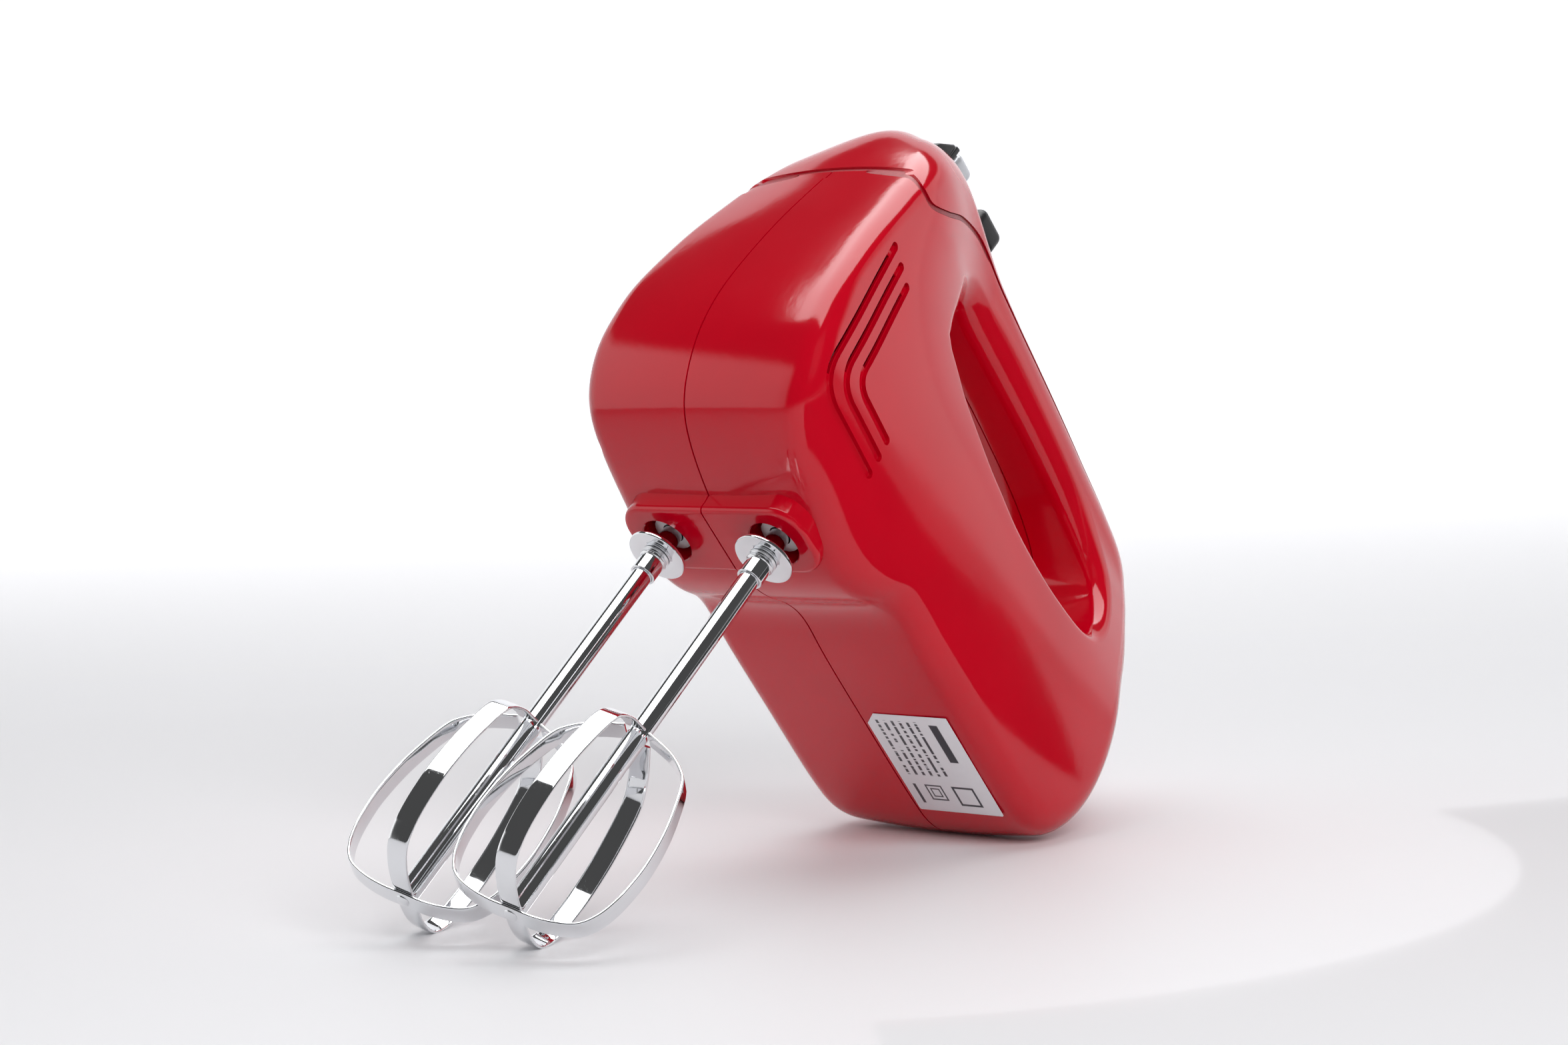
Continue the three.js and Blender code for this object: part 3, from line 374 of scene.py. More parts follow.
def rounded_profile(corners, radius, steps=5):
    """A closed outline whose corners are rounded: each is replaced by an arc that touches its sides.
    Corners on the axis stay sharp, so that a revolved shape closes there."""
    corners = np.asarray(corners, float)
    rows = []
    for before, spot, after in zip(np.roll(corners, 1, 0), corners, np.roll(corners, -1, 0)):
        if spot[0] == 0:
            rows.append(spot[None])
            continue
        into, out = (before - spot), (after - spot)
        reach = min(radius, 0.45 * np.linalg.norm(into), 0.45 * np.linalg.norm(out))
        start = spot + into / np.linalg.norm(into) * reach
        end = spot + out / np.linalg.norm(out) * reach
        t = np.linspace(0, 1, steps)[:, None]
        rows.append((1 - t) ** 2 * start + 2 * t * (1 - t) * spot + t ** 2 * end)
    return np.concatenate(rows)


def rounded_box(low, high, radius, steps=6):
    """A box with round edges: a sphere's grid whose eight octants are pushed out to the corners."""
    low, high = np.asarray(low, float), np.asarray(high, float)
    quarter = np.linspace(0, np.pi / 2, steps)
    turn = np.concatenate([quarter + k * np.pi / 2 for k in range(4)])
    rise = np.concatenate([quarter - np.pi / 2, quarter])
    east = np.repeat([[1, 1], [-1, 1], [-1, -1], [1, -1]], steps, axis=0)
    top = np.repeat([-1, 1], steps)
    half = (high - low) / 2 - radius
    ball = np.stack([np.cos(turn)[:, None] * np.cos(rise), np.sin(turn)[:, None] * np.cos(rise),
                     np.broadcast_to(np.sin(rise), (len(turn), len(rise)))], -1)
    octant = np.stack([np.repeat(east[:, :1], len(rise), 1), np.repeat(east[:, 1:], len(rise), 1),
                       np.broadcast_to(top, (len(turn), len(rise)))], -1)
    points = (low + high) / 2 + octant * half + ball * radius
    faces = grid_faces(len(turn), len(rise), True).tolist()
    last = len(rise)
    faces.append([k * last for k in range(len(turn))][::-1])
    faces.append([k * last + last - 1 for k in range(len(turn))])
    return points.reshape(-1, 3), faces


def headings(line):
    """Unit vectors along a line of points."""
    step = np.gradient(line, axis=0)
    return step / np.linalg.norm(step, axis=1)[:, None]


def swept(path, section, across, out):
    """A closed section carried along a path. Each section point is (sideways, outwards); sideways
    runs along across and outwards along out, one vector for each path point."""
    section = np.asarray(section, float)
    return capped(path[:, None] + section[None, :, :1] * across[:, None]
                  + section[None, :, 1:] * out[:, None])


# ---------------------------------------------------------------- finishes

class Signal:
    """A value in a material's tree. Sums and products of signals add Math nodes."""

    def __init__(self, finish, socket):
        self.finish, self.socket = finish, socket

    def math(self, operation, *values):
        return self.finish.node("ShaderNodeMath", {"operation": operation}, dict(enumerate(values)))

    def __add__(self, other):
        return self.math("ADD", self, other)

    def __sub__(self, other):
        return self.math("SUBTRACT", self, other)

    def __rsub__(self, other):
        return self.math("SUBTRACT", other, self)

    def __mul__(self, other):
        return self.math("MULTIPLY", self, other)

    def __pow__(self, other):
        return self.math("POWER", self, other)

    __radd__, __rmul__ = __add__, __mul__

    def above(self, edge, softness):
        """0 below the edge and 1 above it, with a soft step between."""
        return self.finish.node("ShaderNodeMapRange", {"interpolation_type": "SMOOTHSTEP"}, {
            "Value": self, "From Min": edge - softness, "From Max": edge + softness})

    def parts(self, count):
        """The first components of a vector."""
        return [self.finish.node("ShaderNodeSeparateXYZ", None, {"Vector": self}, output=k)
                for k in range(count)]

    def between(self, low, high, softness):
        return self.above(low, softness) * (1 - self.above(high, softness))


class Finish:
    """A material or world whose nodes are added by node(), from a type, its settings and its inputs."""

    def __init__(self, name, kind="materials"):
        self.owner = getattr(bpy.data, kind).new(name)
        self.owner.use_nodes = True
        self.tree = self.owner.node_tree
        self.tree.nodes.clear()

    def node(self, kind, settings=None, inputs=None, output=0):
        made = self.tree.nodes.new(kind)
        for key, value in (settings or {}).items():
            setattr(made, key, value)
        for key, value in (inputs or {}).items():
            if isinstance(value, Signal):
                self.tree.links.new(value.socket, made.inputs[key])
            else:
                made.inputs[key].default_value = value
        return None if output is None else Signal(self, made.outputs[output])

    def place(self, source="Object"):
        return self.node("ShaderNodeTexCoord", output=source)

    def noise(self, scale, detail=2.0, roughness=0.5, at=None):
        return self.node("ShaderNodeTexNoise", None, {
            "Vector": at or self.place(), "Scale": scale, "Detail": detail, "Roughness": roughness})

    def mix(self, factor, first, second):
        return self.node("ShaderNodeMix", {"data_type": "RGBA"}, {0: factor, 6: first, 7: second}, 2)

    def bump(self, height, strength, distance):
        return self.node("ShaderNodeBump", None, {
            "Height": height, "Strength": strength, "Distance": distance})

    def surface(self, inputs):
        shader = self.node("ShaderNodeBsdfPrincipled", None, inputs)
        self.node("ShaderNodeOutputMaterial", None, {"Surface": shader}, None)
        return self.owner


def opaque(color, factor=1.0):
    """A colour with its alpha, made darker or lighter by a factor."""
    return (*(factor * value for value in color), 1.0)


def red_gloss(colors):
    """Injection-moulded gloss: a faint orange peel, a slow drift of the colour, fine haze patches."""
    finish = Finish("red gloss plastic")
    drift = finish.noise(26, 3)
    peel = finish.noise(420, 2)
    haze = finish.noise(90, 5, 0.6)
    color = finish.mix(drift.above(0.5, 0.22), opaque(colors.shell), opaque(colors.shell_deep))
    return finish.surface({
        "Base Color": color, "Roughness": 0.085 + 0.07 * haze ** 2, "IOR": 1.5,
        "Normal": finish.bump(peel, 0.035, 0.0004)})


def seam_red(colors):
    """Satin dark red of the strip in the cover's joint."""
    finish = Finish("dark red seal")
    grain = finish.noise(900, 3)
    color = finish.mix(grain.above(0.5, 0.2), opaque(colors.seam), opaque(colors.seam, 0.8))
    return finish.surface({
        "Base Color": color, "Roughness": 0.3 + 0.15 * grain,
        "Normal": finish.bump(grain, 0.15, 0.0002)})


def bright_chrome(colors):
    """Chrome plate: hazy smears in the mirror, a drawn-wire waviness and small plating pits."""
    finish = Finish("chrome plate")
    smear = finish.noise(140, 4, 0.6)
    wave = finish.noise(260, 1)
    pits = finish.noise(1500, 2).above(0.74, 0.03)
    color = finish.mix(smear, opaque(colors.chrome), opaque(colors.chrome, 0.93))
    return finish.surface({
        "Base Color": color, "Metallic": 1.0, "Roughness": 0.03 + 0.07 * smear ** 2 + 0.1 * pits,
        "Normal": finish.bump(wave - pits * 0.5, 0.05, 0.0003)})


def satin_silver(colors):
    """Silver paint under a clear coat, with a fine metal flake."""
    finish = Finish("satin silver")
    flake = finish.noise(2600, 2)
    cloud = finish.noise(70, 3)
    color = finish.mix(flake, opaque(colors.silver), opaque(colors.silver, 0.8))
    return finish.surface({"Base Color": color, "Metallic": 0.55, "Roughness": 0.26 + 0.1 * cloud,
                           "Normal": finish.bump(flake, 0.08, 0.0001)})


def grained(name, color, dark, grain, cloud, roughness, relief):
    """Moulded plastic or rubber. Grain and cloud are a noise's scale and detail, roughness is a base
    and the grain's share, and relief is the bump's strength and distance."""
    finish = Finish(name)
    grain = finish.noise(*grain)
    tint = finish.mix(finish.noise(*cloud), opaque(color), opaque(dark))
    return finish.surface({"Base Color": tint, "Roughness": roughness[0] + roughness[1] * grain,
                           "Normal": finish.bump(grain, *relief)})


def black_satin(colors):
    return grained("black satin plastic", colors.black, [2.2 * v for v in colors.black],
                   (1800, 3), (120, 4), (0.26, 0.2), (0.12, 0.0001))


def black_rubber(colors):
    return grained("black rubber", colors.black, [1.8 * v for v in colors.black],
                   (1100, 4), (1100, 4), (0.6, 0.2), (0.3, 0.0002))


def moulded(name, color, dark, roughness):
    return grained(name, color, dark, (1300, 3), (60, 3), (roughness, 0.15), (0.15, 0.0002))


def turned_metal(name, color, dark, roughness):
    """Plain metal with fine turning marks and a little staining."""
    finish = Finish(name)
    stretch = finish.node("ShaderNodeMapping", None, {"Vector": finish.place(), "Scale": (1, 1, 14)})
    marks = finish.noise(380, 3, 0.6, stretch)
    stain = finish.noise(70, 5)
    tint = finish.mix(stain.above(0.5, 0.3), opaque(color), opaque(dark))
    return finish.surface({
        "Base Color": tint, "Metallic": 1.0, "Roughness": roughness + 0.15 * marks,
        "Normal": finish.bump(marks, 0.1, 0.0002)})


# The label's print: its rows of dashes, its bars as (low and high u, low and high v, softness) and its
# boxes as (low u, low v, width, height, line)
TEXT_ROWS = 11.0
TEXT_COLUMNS = 46.0
ROW_STRIDE = 7.3
LABEL_BARS = [((0.08, 0.46), (0.74, 0.84), 0.006), ((0.72, 0.92), (0.1, 0.135), 0.004)]
LABEL_BOXES = [(0.72, 0.24, 0.16, 0.2, 0.014), (0.755, 0.285, 0.09, 0.11, 0.012),
               (0.72, 0.56, 0.2, 0.26, 0.02)]


def printed_label(colors):
    """Silvery white foil printed with plain rows of dashes, a bar and two empty boxes, laid out over
    the label's own map: u along its length and v across it."""
    finish = Finish("printed foil")
    spot = finish.node("ShaderNodeUVMap", {"uv_map": "label"})
    u, v = spot.parts(2)
    count = v * TEXT_ROWS
    row, number = count.math("FRACT", count), count.math("FLOOR", count)
    cell = finish.node("ShaderNodeCombineXYZ", None, {"X": u * TEXT_COLUMNS, "Y": number * ROW_STRIDE})
    letters = finish.noise(1.0, 0.0, at=cell).above(0.43, 0.03)
    ink = (row.between(0.3, 0.66, 0.06) * letters
           * u.between(0.06, 0.62, 0.004) * v.between(0.1, 0.62, 0.002))
    for (low_u, high_u), (low_v, high_v), soft in LABEL_BARS:
        ink = ink + v.between(low_v, high_v, soft) * u.between(low_u, high_u, 0.004)
    for low_u, low_v, size_u, size_v, line in LABEL_BOXES:
        outer = u.between(low_u, low_u + size_u, 0.003) * v.between(low_v, low_v + size_v, 0.004)
        inner = (u.between(low_u + line, low_u + size_u - line, 0.003)
                 * v.between(low_v + 1.3 * line, low_v + size_v - 1.3 * line, 0.004))
        ink = ink + outer - inner
    ink = ink.math("MINIMUM", ink, 1.0)
    foil = finish.noise(300, 3)
    paper = finish.mix(foil, opaque(colors.label), opaque(colors.label, 0.94))
    color = finish.mix(ink, paper, opaque((0.035, 0.035, 0.045)))
    return finish.surface({
        "Base Color": color, "Metallic": 0.0, "Roughness": 0.32 + 0.1 * foil,
        "Normal": finish.bump(foil, 0.05, 0.0001)})


def white_floor(colors):
    """Matt white sheet whose far floor and upturned wall glow by emission: painted light standing in for light
    from behind.
    """
    finish = Finish("studio floor")
    cloud = finish.noise(3, 2)
    color = finish.mix(cloud, opaque(colors.floor), opaque(colors.floor, 0.985))
    # Painted light: the emission grows from none near the mixer to a steady glow over the far floor and the wall
    run = finish.place().parts(1)[0]
    glow = finish.mix(run.above(1.0, 0.9), (0, 0, 0, 1), (0.72, 0.72, 0.735, 1))
    return finish.surface({
        "Base Color": color, "Roughness": 0.5 + 0.05 * cloud, "Specular IOR Level": 0.2,
        "Emission Color": glow, "Emission Strength": 1.0})


# Plain metals and mouldings, as (kind, name, colour, darker colour, roughness)
PLAIN = {
    "steel": (turned_metal, "plain steel", (0.5, 0.51, 0.52), (0.36, 0.36, 0.37), 0.28),
    "laminated_iron": (turned_metal, "sheet iron", (0.2, 0.2, 0.21), (0.12, 0.11, 0.1), 0.45),
    "copper": (turned_metal, "enamelled copper", (0.62, 0.28, 0.12), (0.4, 0.16, 0.07), 0.3),
    "brass": (turned_metal, "plain brass", (0.66, 0.47, 0.2), (0.5, 0.34, 0.14), 0.28),
    "nylon": (moulded, "natural nylon", (0.78, 0.76, 0.68), (0.7, 0.67, 0.6), 0.42),
    "carbon": (moulded, "pressed carbon", (0.03, 0.03, 0.03), (0.015, 0.015, 0.015), 0.6),
}
FINISHES = {
    "red_plastic": red_gloss,
    "dark_red_plastic": seam_red,
    "chrome": bright_chrome,
    "silver_plastic": satin_silver,
    "black_plastic": black_satin,
    "black_rubber": black_rubber,
    "label_foil": printed_label,
}
_made = {}


def finish_for(slot):
    if slot not in _made:
        if slot in FINISHES:
            _made[slot] = FINISHES[slot](bpy.context.scene.mixer_colors)
        else:
            kind, *values = PLAIN[slot]
            _made[slot] = kind(*values)
    return _made[slot]


def hand_over(thing, body, nodes, slot):
    """Gives a finished piece its finish, its body and the nodes that it stands for."""
    thing.data.materials.clear()
    thing.data.materials.append(finish_for(slot))
    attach(thing, body)
    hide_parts(*nodes)
    return thing


# ---------------------------------------------------------------- settings

class MixerColors(bpy.types.PropertyGroup):
    shell: FloatVectorProperty(name="Shell", description="Colour of the shell", subtype="COLOR",
                               size=3, default=(0.56, 0.0, 0.012), min=0, max=1)
    shell_deep: FloatVectorProperty(name="Shell, deeper", description="Second tone of the shell",
                                    subtype="COLOR", size=3, default=(0.52, 0.0, 0.011), min=0, max=1)
    seam: FloatVectorProperty(name="Seal", description="Colour of the strip under the cover",
                              subtype="COLOR", size=3, default=(0.3, 0.0, 0.008), min=0, max=1)
    chrome: FloatVectorProperty(name="Chrome", description="Tint of the plating", subtype="COLOR",
                                size=3, default=(0.84, 0.85, 0.87), min=0, max=1)
    silver: FloatVectorProperty(name="Silver", description="Colour of the eject button's rear block",
                                subtype="COLOR", size=3, default=(0.66, 0.68, 0.72), min=0, max=1)
    black: FloatVectorProperty(name="Controls", description="Colour of the controls",
                               subtype="COLOR", size=3, default=(0.009, 0.009, 0.01), min=0, max=1)
    label: FloatVectorProperty(name="Label", description="Colour of the foil label", subtype="COLOR",
                               size=3, default=(0.8, 0.8, 0.83), min=0, max=1)
    floor: FloatVectorProperty(name="Floor", description="Colour of the floor", subtype="COLOR",
                               size=3, default=(0.86, 0.86, 0.88), min=0, max=1)


class MixerShell(bpy.types.PropertyGroup):
    around: IntProperty(name="Steps round", description="Sections of the body's surface",
                        default=440, min=120, max=700)
    parting: FloatProperty(name="Parting groove", description="Width of the groove between the halves",
                           default=0.55, min=0.2, max=1.5, unit="NONE")
    parting_depth: FloatProperty(name="Parting depth", description="Depth of that groove",
                                 default=1.1, min=0.3, max=2.0)
    vent_width: FloatProperty(name="Vent width", description="Width of a vent in millimetres",
                              default=2.8, min=1.5, max=4.5)
    vent_pitch: FloatProperty(name="Vent pitch", description="From one vent to the next",
                              default=5.7, min=4.0, max=8.0)
    recess: FloatProperty(name="Vent recess", description="Depth of a vent's closed stretch",
                          default=1.5, min=0.5, max=2.2)


class MixerStudio(bpy.types.PropertyGroup):
    overhead: FloatProperty(name="Overhead light", description="Radiance of the large overhead box",
                            default=1.6, min=0)
    card: FloatProperty(name="Bright card", description="Radiance of the card that gloss sees overhead",
                        default=4.5, min=0)
    fill: FloatProperty(name="Fill light", description="Radiance of the soft light from the near side",
                        default=7.0, min=0)
    wall: FloatProperty(name="White wall", description="Brightness of the wall round the far side",
                        default=1.15, min=0, max=5)
    dim: FloatProperty(name="Near side", description="Brightness of the room on the near side",
                       default=0.07, min=0, max=5)


# ---------------------------------------------------------------- the shell

BOSS = {"x": (-12.6, 11.4), "half_width": 33.5, "corner": 9.5, "face": 5.5, "top": 24, "edge": 1.7,
        "flare": 2.2, "shoulder": 3.4}
HOLE = {"radius": 7.7, "break": 0.35, "start": 0.5, "end": 34}
SCREWS = {"head_upper": (-38, 98), "head_lower": (-24, 20.5), "heel": (122, 25),
          "rear": (126, 84), "handle_rear": (120, 118)}
SCREW = {"seat": 10, "well": 4, "post": 5.4, "start": -0.5}
# Each vent: its upper left corner, its lowest point, the reach of its bend and its right end
VENT = {"left": -39.2, "low": 30, "bend": 9, "top": 84, "right": -4}
# How far along each vent's line its through slot ends, how much narrower it is, and its depth
SLOT_ENDS = (46, 42, 30)
SLOT_START = 3
SLOT_NARROWER = 0.5
SLOT_DEPTH = 6
INLET = {"x": 142, "z": 68, "radius": 4.9, "bore": 3.5, "flange": 8}
EJECT = {"x": (-28, -9.6), "half_width": 8, "top": 155.5, "base": 142.6, "block": 9.2,
         "block_base": 147, "drop": 8.5, "bend": 2.2, "dropped": 14, "opening": 0.4}
SLIDER = {"x": (1.9, 14.9), "half_width": 7, "base": 146.2, "top": 155.2, "slot": (5.4, 27.4),
          "slot_half": 2.5, "stem": 2, "stem_end": 135, "notch": 0.45}


def above_line(name, points, lower=0.0):
    """Everything above a smooth line of the side view, which may be moved down square to itself."""
    line = catmull(points, np.linspace(0, len(points) - 1, LINE_STEPS)[:-1], closed=False)
    ahead = headings(line)
    line = line + lower * np.stack([ahead[:, 1], -ahead[:, 0]], -1)
    outline = np.concatenate([line, [[line[-1, 0], 2.2 * FAR], [line[0, 0], 2.2 * FAR]]])
    return make_object(name, *side_prism(outline, -FAR, FAR))


def boss_shape():
    """A plate with a rounded-rectangle plan, carried down a profile whose lower edge is rounded and
    whose sides draw in a little towards the face."""
    (x0, x1), half, corner, edge = BOSS["x"], BOSS["half_width"], BOSS["corner"], BOSS["edge"]
    turn = np.linspace(0, np.pi / 2, 14)
    stations = [(-BOSS["flare"], BOSS["top"]), (0, BOSS["face"] + BOSS["shoulder"])]
    stations += [(edge * (1 - math.cos(a)), BOSS["face"] + edge * (1 - math.sin(a)))
                 for a in np.linspace(0, math.pi / 2, 9)]
    centres = ((x1 - corner, half - corner), (x0 + corner, half - corner),
               (x0 + corner, corner - half), (x1 - corner, corner - half))
    rows = []
    for inset, z in stations:
        size = corner - inset
        for k, (cx, cy) in enumerate(centres):
            angle = turn + k * np.pi / 2
            arc = np.stack([cx + size * np.cos(angle), cy + size * np.sin(angle), 0 * angle + z], -1)
            rows.append(arc)
    return capped(np.reshape(rows, (len(stations), -1, 3)))


def hole_shape(y):
    """A spindle hole whose mouth is slightly broken."""
    mouth, r, broken = BOSS["face"], HOLE["radius"], HOLE["break"]
    low, high = HOLE["start"], HOLE["end"]
    profile = [(0, low), (r + broken, low), (r + broken, mouth), (r, mouth + broken), (r, high),
               (0, high)]
    return revolved(profile, (0, y, 0), sides=96)


def vent_path(number, pitch):
    """A vent's middle line: down the head, round a bend and back along it."""
    shift = number * pitch
    left, low, bend = VENT["left"] + shift, VENT["low"] + shift, VENT["bend"] - shift / 2
    top, right = VENT["top"] - 2 * number, VENT["right"] - number
    start, a = np.array([left - 1.7, top]), np.array([left, low + bend + 3])
    b, end = np.array([left + bend + 3, low - 0.7]), np.array([right, low - 1.5])
    t = np.linspace(0, 1, 40)[:, None]
    corner = np.array([left + 0.2, low + 0.2])
    rounded = (1 - t) ** 2 * a + 2 * t * (1 - t) * corner + t ** 2 * b
    return np.concatenate([np.linspace(start, a, 30)[:-1], rounded, np.linspace(b, end, 24)[1:]])


def vent_shape(line, width, depth, side, sharp_ends=False):
    """A channel carried along the line: flat floor at a depth under the skin, rounded ends."""
    ahead = headings(line)
    normal = np.stack([ahead[:, 1], -ahead[:, 0]], -1)
    length = np.concatenate([[0], np.cumsum(np.linalg.norm(np.diff(line, axis=0), axis=1))])
    radius = width / 2
    from_end = np.minimum(length, length[-1] - length)
    swell = np.sqrt(np.clip(1 - (1 - np.clip(from_end / radius, 0.03, 1)) ** 2, 0, 1))
    half = radius * (np.ones_like(swell) if sharp_ends else swell)
    across = np.array([-1, -0.92, -0.75, 0, 0.75, 0.92, 1])
    lift = np.array([0.5, 0.14, 0, 0, 0, 0.14, 0.5])
    spots = line[:, None] + normal[:, None] * (half[:, None] * across)[..., None]
    floor = half_width(spots[..., 0], spots[..., 1]) - depth + lift * min(depth, 1.0)
    inner = np.stack([spots[..., 0], floor, spots[..., 1]], -1)
    outer = inner[:, ::-1].copy()
    outer[..., 1] = OUTSIDE
    return capped(np.concatenate([inner, outer], axis=1) * [1, side, 1])


def dense_ends(line):
    """Adds points near both ends of a line, where a vent is rounded."""
    def split(a, b):
        return a + (b - a) * (np.linspace(0, 1, 14)[:, None] ** 2)
    return np.concatenate([split(line[0], line[2])[:-1], line[2:-2], split(line[-1], line[-3])[::-1]])


def cut(target, shape):
    return combine(target, make_object("cutter", *shape), "DIFFERENCE")


def bar_through(place, radius, start, sides):
    """A round bar from a start out past the right side."""
    profile = [(0, start), (radius, start), (radius, OUTSIDE), (0, OUTSIDE)]
    return revolved(profile, (place[0], 0, place[1]), "y", sides)


def slice_between(y_low, y_high):
    return box_shape((-FAR, y_low, -FAR), (2 * FAR, y_high, 2.5 * FAR))


def make_half(side_name, outer, blank):
    side = SIDES[side_name]
    shop = bpy.context.scene.mixer_shell
    half = copy_of(blank, f"shell_{side_name}")
    combine(half, make_object("boss", *boss_shape()), "UNION")
    if side > 0:
        for spot in SCREWS.values():
            post = make_object("post", *bar_through(spot, SCREW["post"], SCREW["start"], 40))
            combine(half, combine(post, lining("lining", WALL / 2), "INTERSECT"), "UNION")
    reach = sorted((0.02 * side, FAR * side))
    combine(half, make_object("half", *slice_between(*reach)), "INTERSECT")
    combine(half, above_line("over", SEAM, SEAM_WIDTH), "DIFFERENCE")
    groove = make_object("groove", *slice_between(-shop.parting / 2, shop.parting / 2))
    kept = body_object("kept", shop.parting_depth, around=260, flat=8, corner=8, side=12)
    combine(half, combine(groove, kept, "DIFFERENCE"), "DIFFERENCE")
    band = combine(above_line("band", STEP), body_object("kept", STEP_DEPTH), "DIFFERENCE")
    combine(half, band, "DIFFERENCE")
    for y in (-SPACING / 2, SPACING / 2):
        cut(half, hole_shape(y))
    for number, slot_end in enumerate(SLOT_ENDS):
        line = vent_path(number, shop.vent_pitch)
        cut(half, vent_shape(dense_ends(line), shop.vent_width, shop.recess, side))
        slot_width = shop.vent_width - SLOT_NARROWER
        cut(half, vent_shape(line[SLOT_START:slot_end], slot_width, SLOT_DEPTH, side, sharp_ends=True))
    if side > 0:
        for spot in SCREWS.values():
            cut(half, bar_through(spot, SCREW["well"], SCREW["seat"], 48))
    r, reach = INLET["radius"] + 0.25, 14
    cut(half, revolved([(0, -reach), (r, -reach), (r, reach), (0, reach)],
                       (INLET["x"], 0, INLET["z"]), "x", 48))
    shade_like(half, outer)
    return hand_over(half, "housing", [f"housing_{side_name}"], "red_plastic")


def make_cover(outer, blank):
    cover = combine(copy_of(blank, "nose_and_handle_cover"), above_line("over", SEAM), "INTERSECT")
    (x0, x1), half, gap = EJECT["x"], EJECT["half_width"] + EJECT["opening"], EJECT["opening"]
    (slot_start, slot_end), slot_half = SLIDER["slot"], SLIDER["slot_half"]
    cut(cover, rounded_box((x0 - gap, -half, 120), (x1 + gap, half, 170), 1.6))
    cut(cover, rounded_box((slot_start, -slot_half, 120), (slot_end, slot_half, 170), 1.2))
    shade_like(cover, outer)
    return hand_over(cover, "housing", ["top_cover"], "red_plastic")


def make_seal():
    band = body_object("cover_joint_seal", SEAL_INSET, around=360)
    combine(band, lining("inner", WALL), "DIFFERENCE")
    combine(band, above_line("over", SEAM, SEAM_WIDTH - SEAL_GAP), "INTERSECT")
    combine(band, above_line("over", SEAM, SEAL_GAP), "DIFFERENCE")
    shade(band.data)
    return hand_over(band, "housing", ["cover_seal"], "dark_red_plastic")


# ---------------------------------------------------------------- the beaters

BEATER = {"collar": 8.9, "collar_thickness": 1.3, "shaft": 3.0, "top": 42.0, "bottom": -130.0,
          "loop_height": 63.0, "loop_half": 25.0, "strip": 6.0, "strip_thickness": 0.9, "turn": 22.5,
          "rivet": 2.0, "rivet_swell": 0.75}


# Half a loop, as shares of its half-width and of its height down from the top
LOOP = [(0.15, 0), (0.5, 0.055), (0.72, 0.12), (0.81, 0.175), (0.89, 0.28), (0.965, 0.42), (1, 0.58),
        (0.985, 0.7), (0.945, 0.8), (0.87, 0.885), (0.74, 0.95), (0.52, 0.985), (0.26, 1), (0, 1)]


def strip_section(width, thickness):
    """A flat strip's section with softly rounded edges: a flattened super-ellipse."""
    turn = np.linspace(0, 2 * np.pi, 33)[:-1]
    c, s = np.cos(turn), np.sin(turn)
    return np.stack([width / 2 * np.sign(c) * np.abs(c) ** 0.22,
                     thickness / 2 * np.sign(s) * np.abs(s) ** 0.6], -1)


def loop_line(bottom):
    """The strip's middle line from the shaft out over the shoulder, down and in under the shaft."""
    top = BEATER["bottom"] + BEATER["loop_height"]
    height, half = top - bottom, BEATER["loop_half"]
    down = np.array([(r * half, top - drop * height) for r, drop in LOOP])
    up = down[-2::-1] * [-1, 1]
    points = np.concatenate([down, up])
    return catmull(points, np.linspace(0, len(points) - 1, LINE_STEPS), closed=False)


def loop_shape(bottom, turn, y):
    """A strip bent along the loop's line, in a plane turned about the shaft."""
    line = loop_line(bottom)
    ahead = headings(line)
    plane = np.array([math.cos(turn), math.sin(turn), 0])
    wide = np.array([-math.sin(turn), math.cos(turn), 0])
    path = line[:, :1] * plane + line[:, 1:] * np.array([0, 0, 1]) + [0, y, 0]
    out = ahead[:, 1:] * plane - ahead[:, :1] * np.array([0, 0, 1])
    return swept(path, strip_section(BEATER["strip"], BEATER["strip_thickness"]),
                 np.broadcast_to(wide, path.shape), out)


def make_beater(side_name):
    y, body = SIDES[side_name] * SPACING / 2, f"beater_{side_name}"
    thin = BEATER["strip_thickness"]
    outer_bottom = BEATER["bottom"] + thin / 2
    inner_bottom = outer_bottom + thin + 0.05
    r, collar, half = BEATER["shaft"], BEATER["collar"], BEATER["collar_thickness"] / 2
    turn = math.radians(BEATER["turn"])

    def piece(name, shape, node):
        thing = make_object(f"{name}_{side_name}", *shape)
        hand_over(thing, body, [f"beater_{node}_{side_name}"], "chrome")

    piece("wire_loop_outer", loop_shape(outer_bottom, turn - math.pi / 2, y), "loop_outer")
    piece("wire_loop_inner", loop_shape(inner_bottom, turn, y), "loop_inner")
    low = inner_bottom + thin / 2
    shaft = rounded_profile([(0, low), (r, low), (r, BEATER["top"]), (0, BEATER["top"])], 0.7)
    piece("shaft", revolved(shaft, (0, y, 0)), "shaft")
    dish = [(r + 0.05, -half + 0.1), (r + 2.1, -half + 0.1), (r + 2.6, -half), (collar, -half),
            (collar, half), (r + 2.4, half), (r + 0.05, half)]
    piece("collar", revolved(rounded_profile(dish, 0.45), (0, y, 0), sides=120), "collar")
    sleeve = [(r + 0.02, -8.2), (r + 0.75, -8.2), (r + 0.75, -3.0), (r + 1.15, -2.7), (r + 1.15, -1.9),
              (r + 0.8, -1.7), (r + 0.8, -1.2), (r + 1.25, -1.0), (r + 1.25, -half), (r + 0.02, -half)]
    piece("sleeve", revolved(rounded_profile(sleeve, 0.25, 4), (0, y, 0)), "hub")
    base, head, swell = BEATER["bottom"], BEATER["rivet"], BEATER["rivet_swell"]
    dome = [(head * math.sin(a), base - swell * math.cos(a)) for a in np.linspace(0, math.pi / 2, 9)]
    dome += [(head, base + 0.1), (0, base + 0.1)]
    piece("rivet", revolved(dome, (0, y, 0), sides=40), "rivet")


# ---------------------------------------------------------------- controls and small pieces

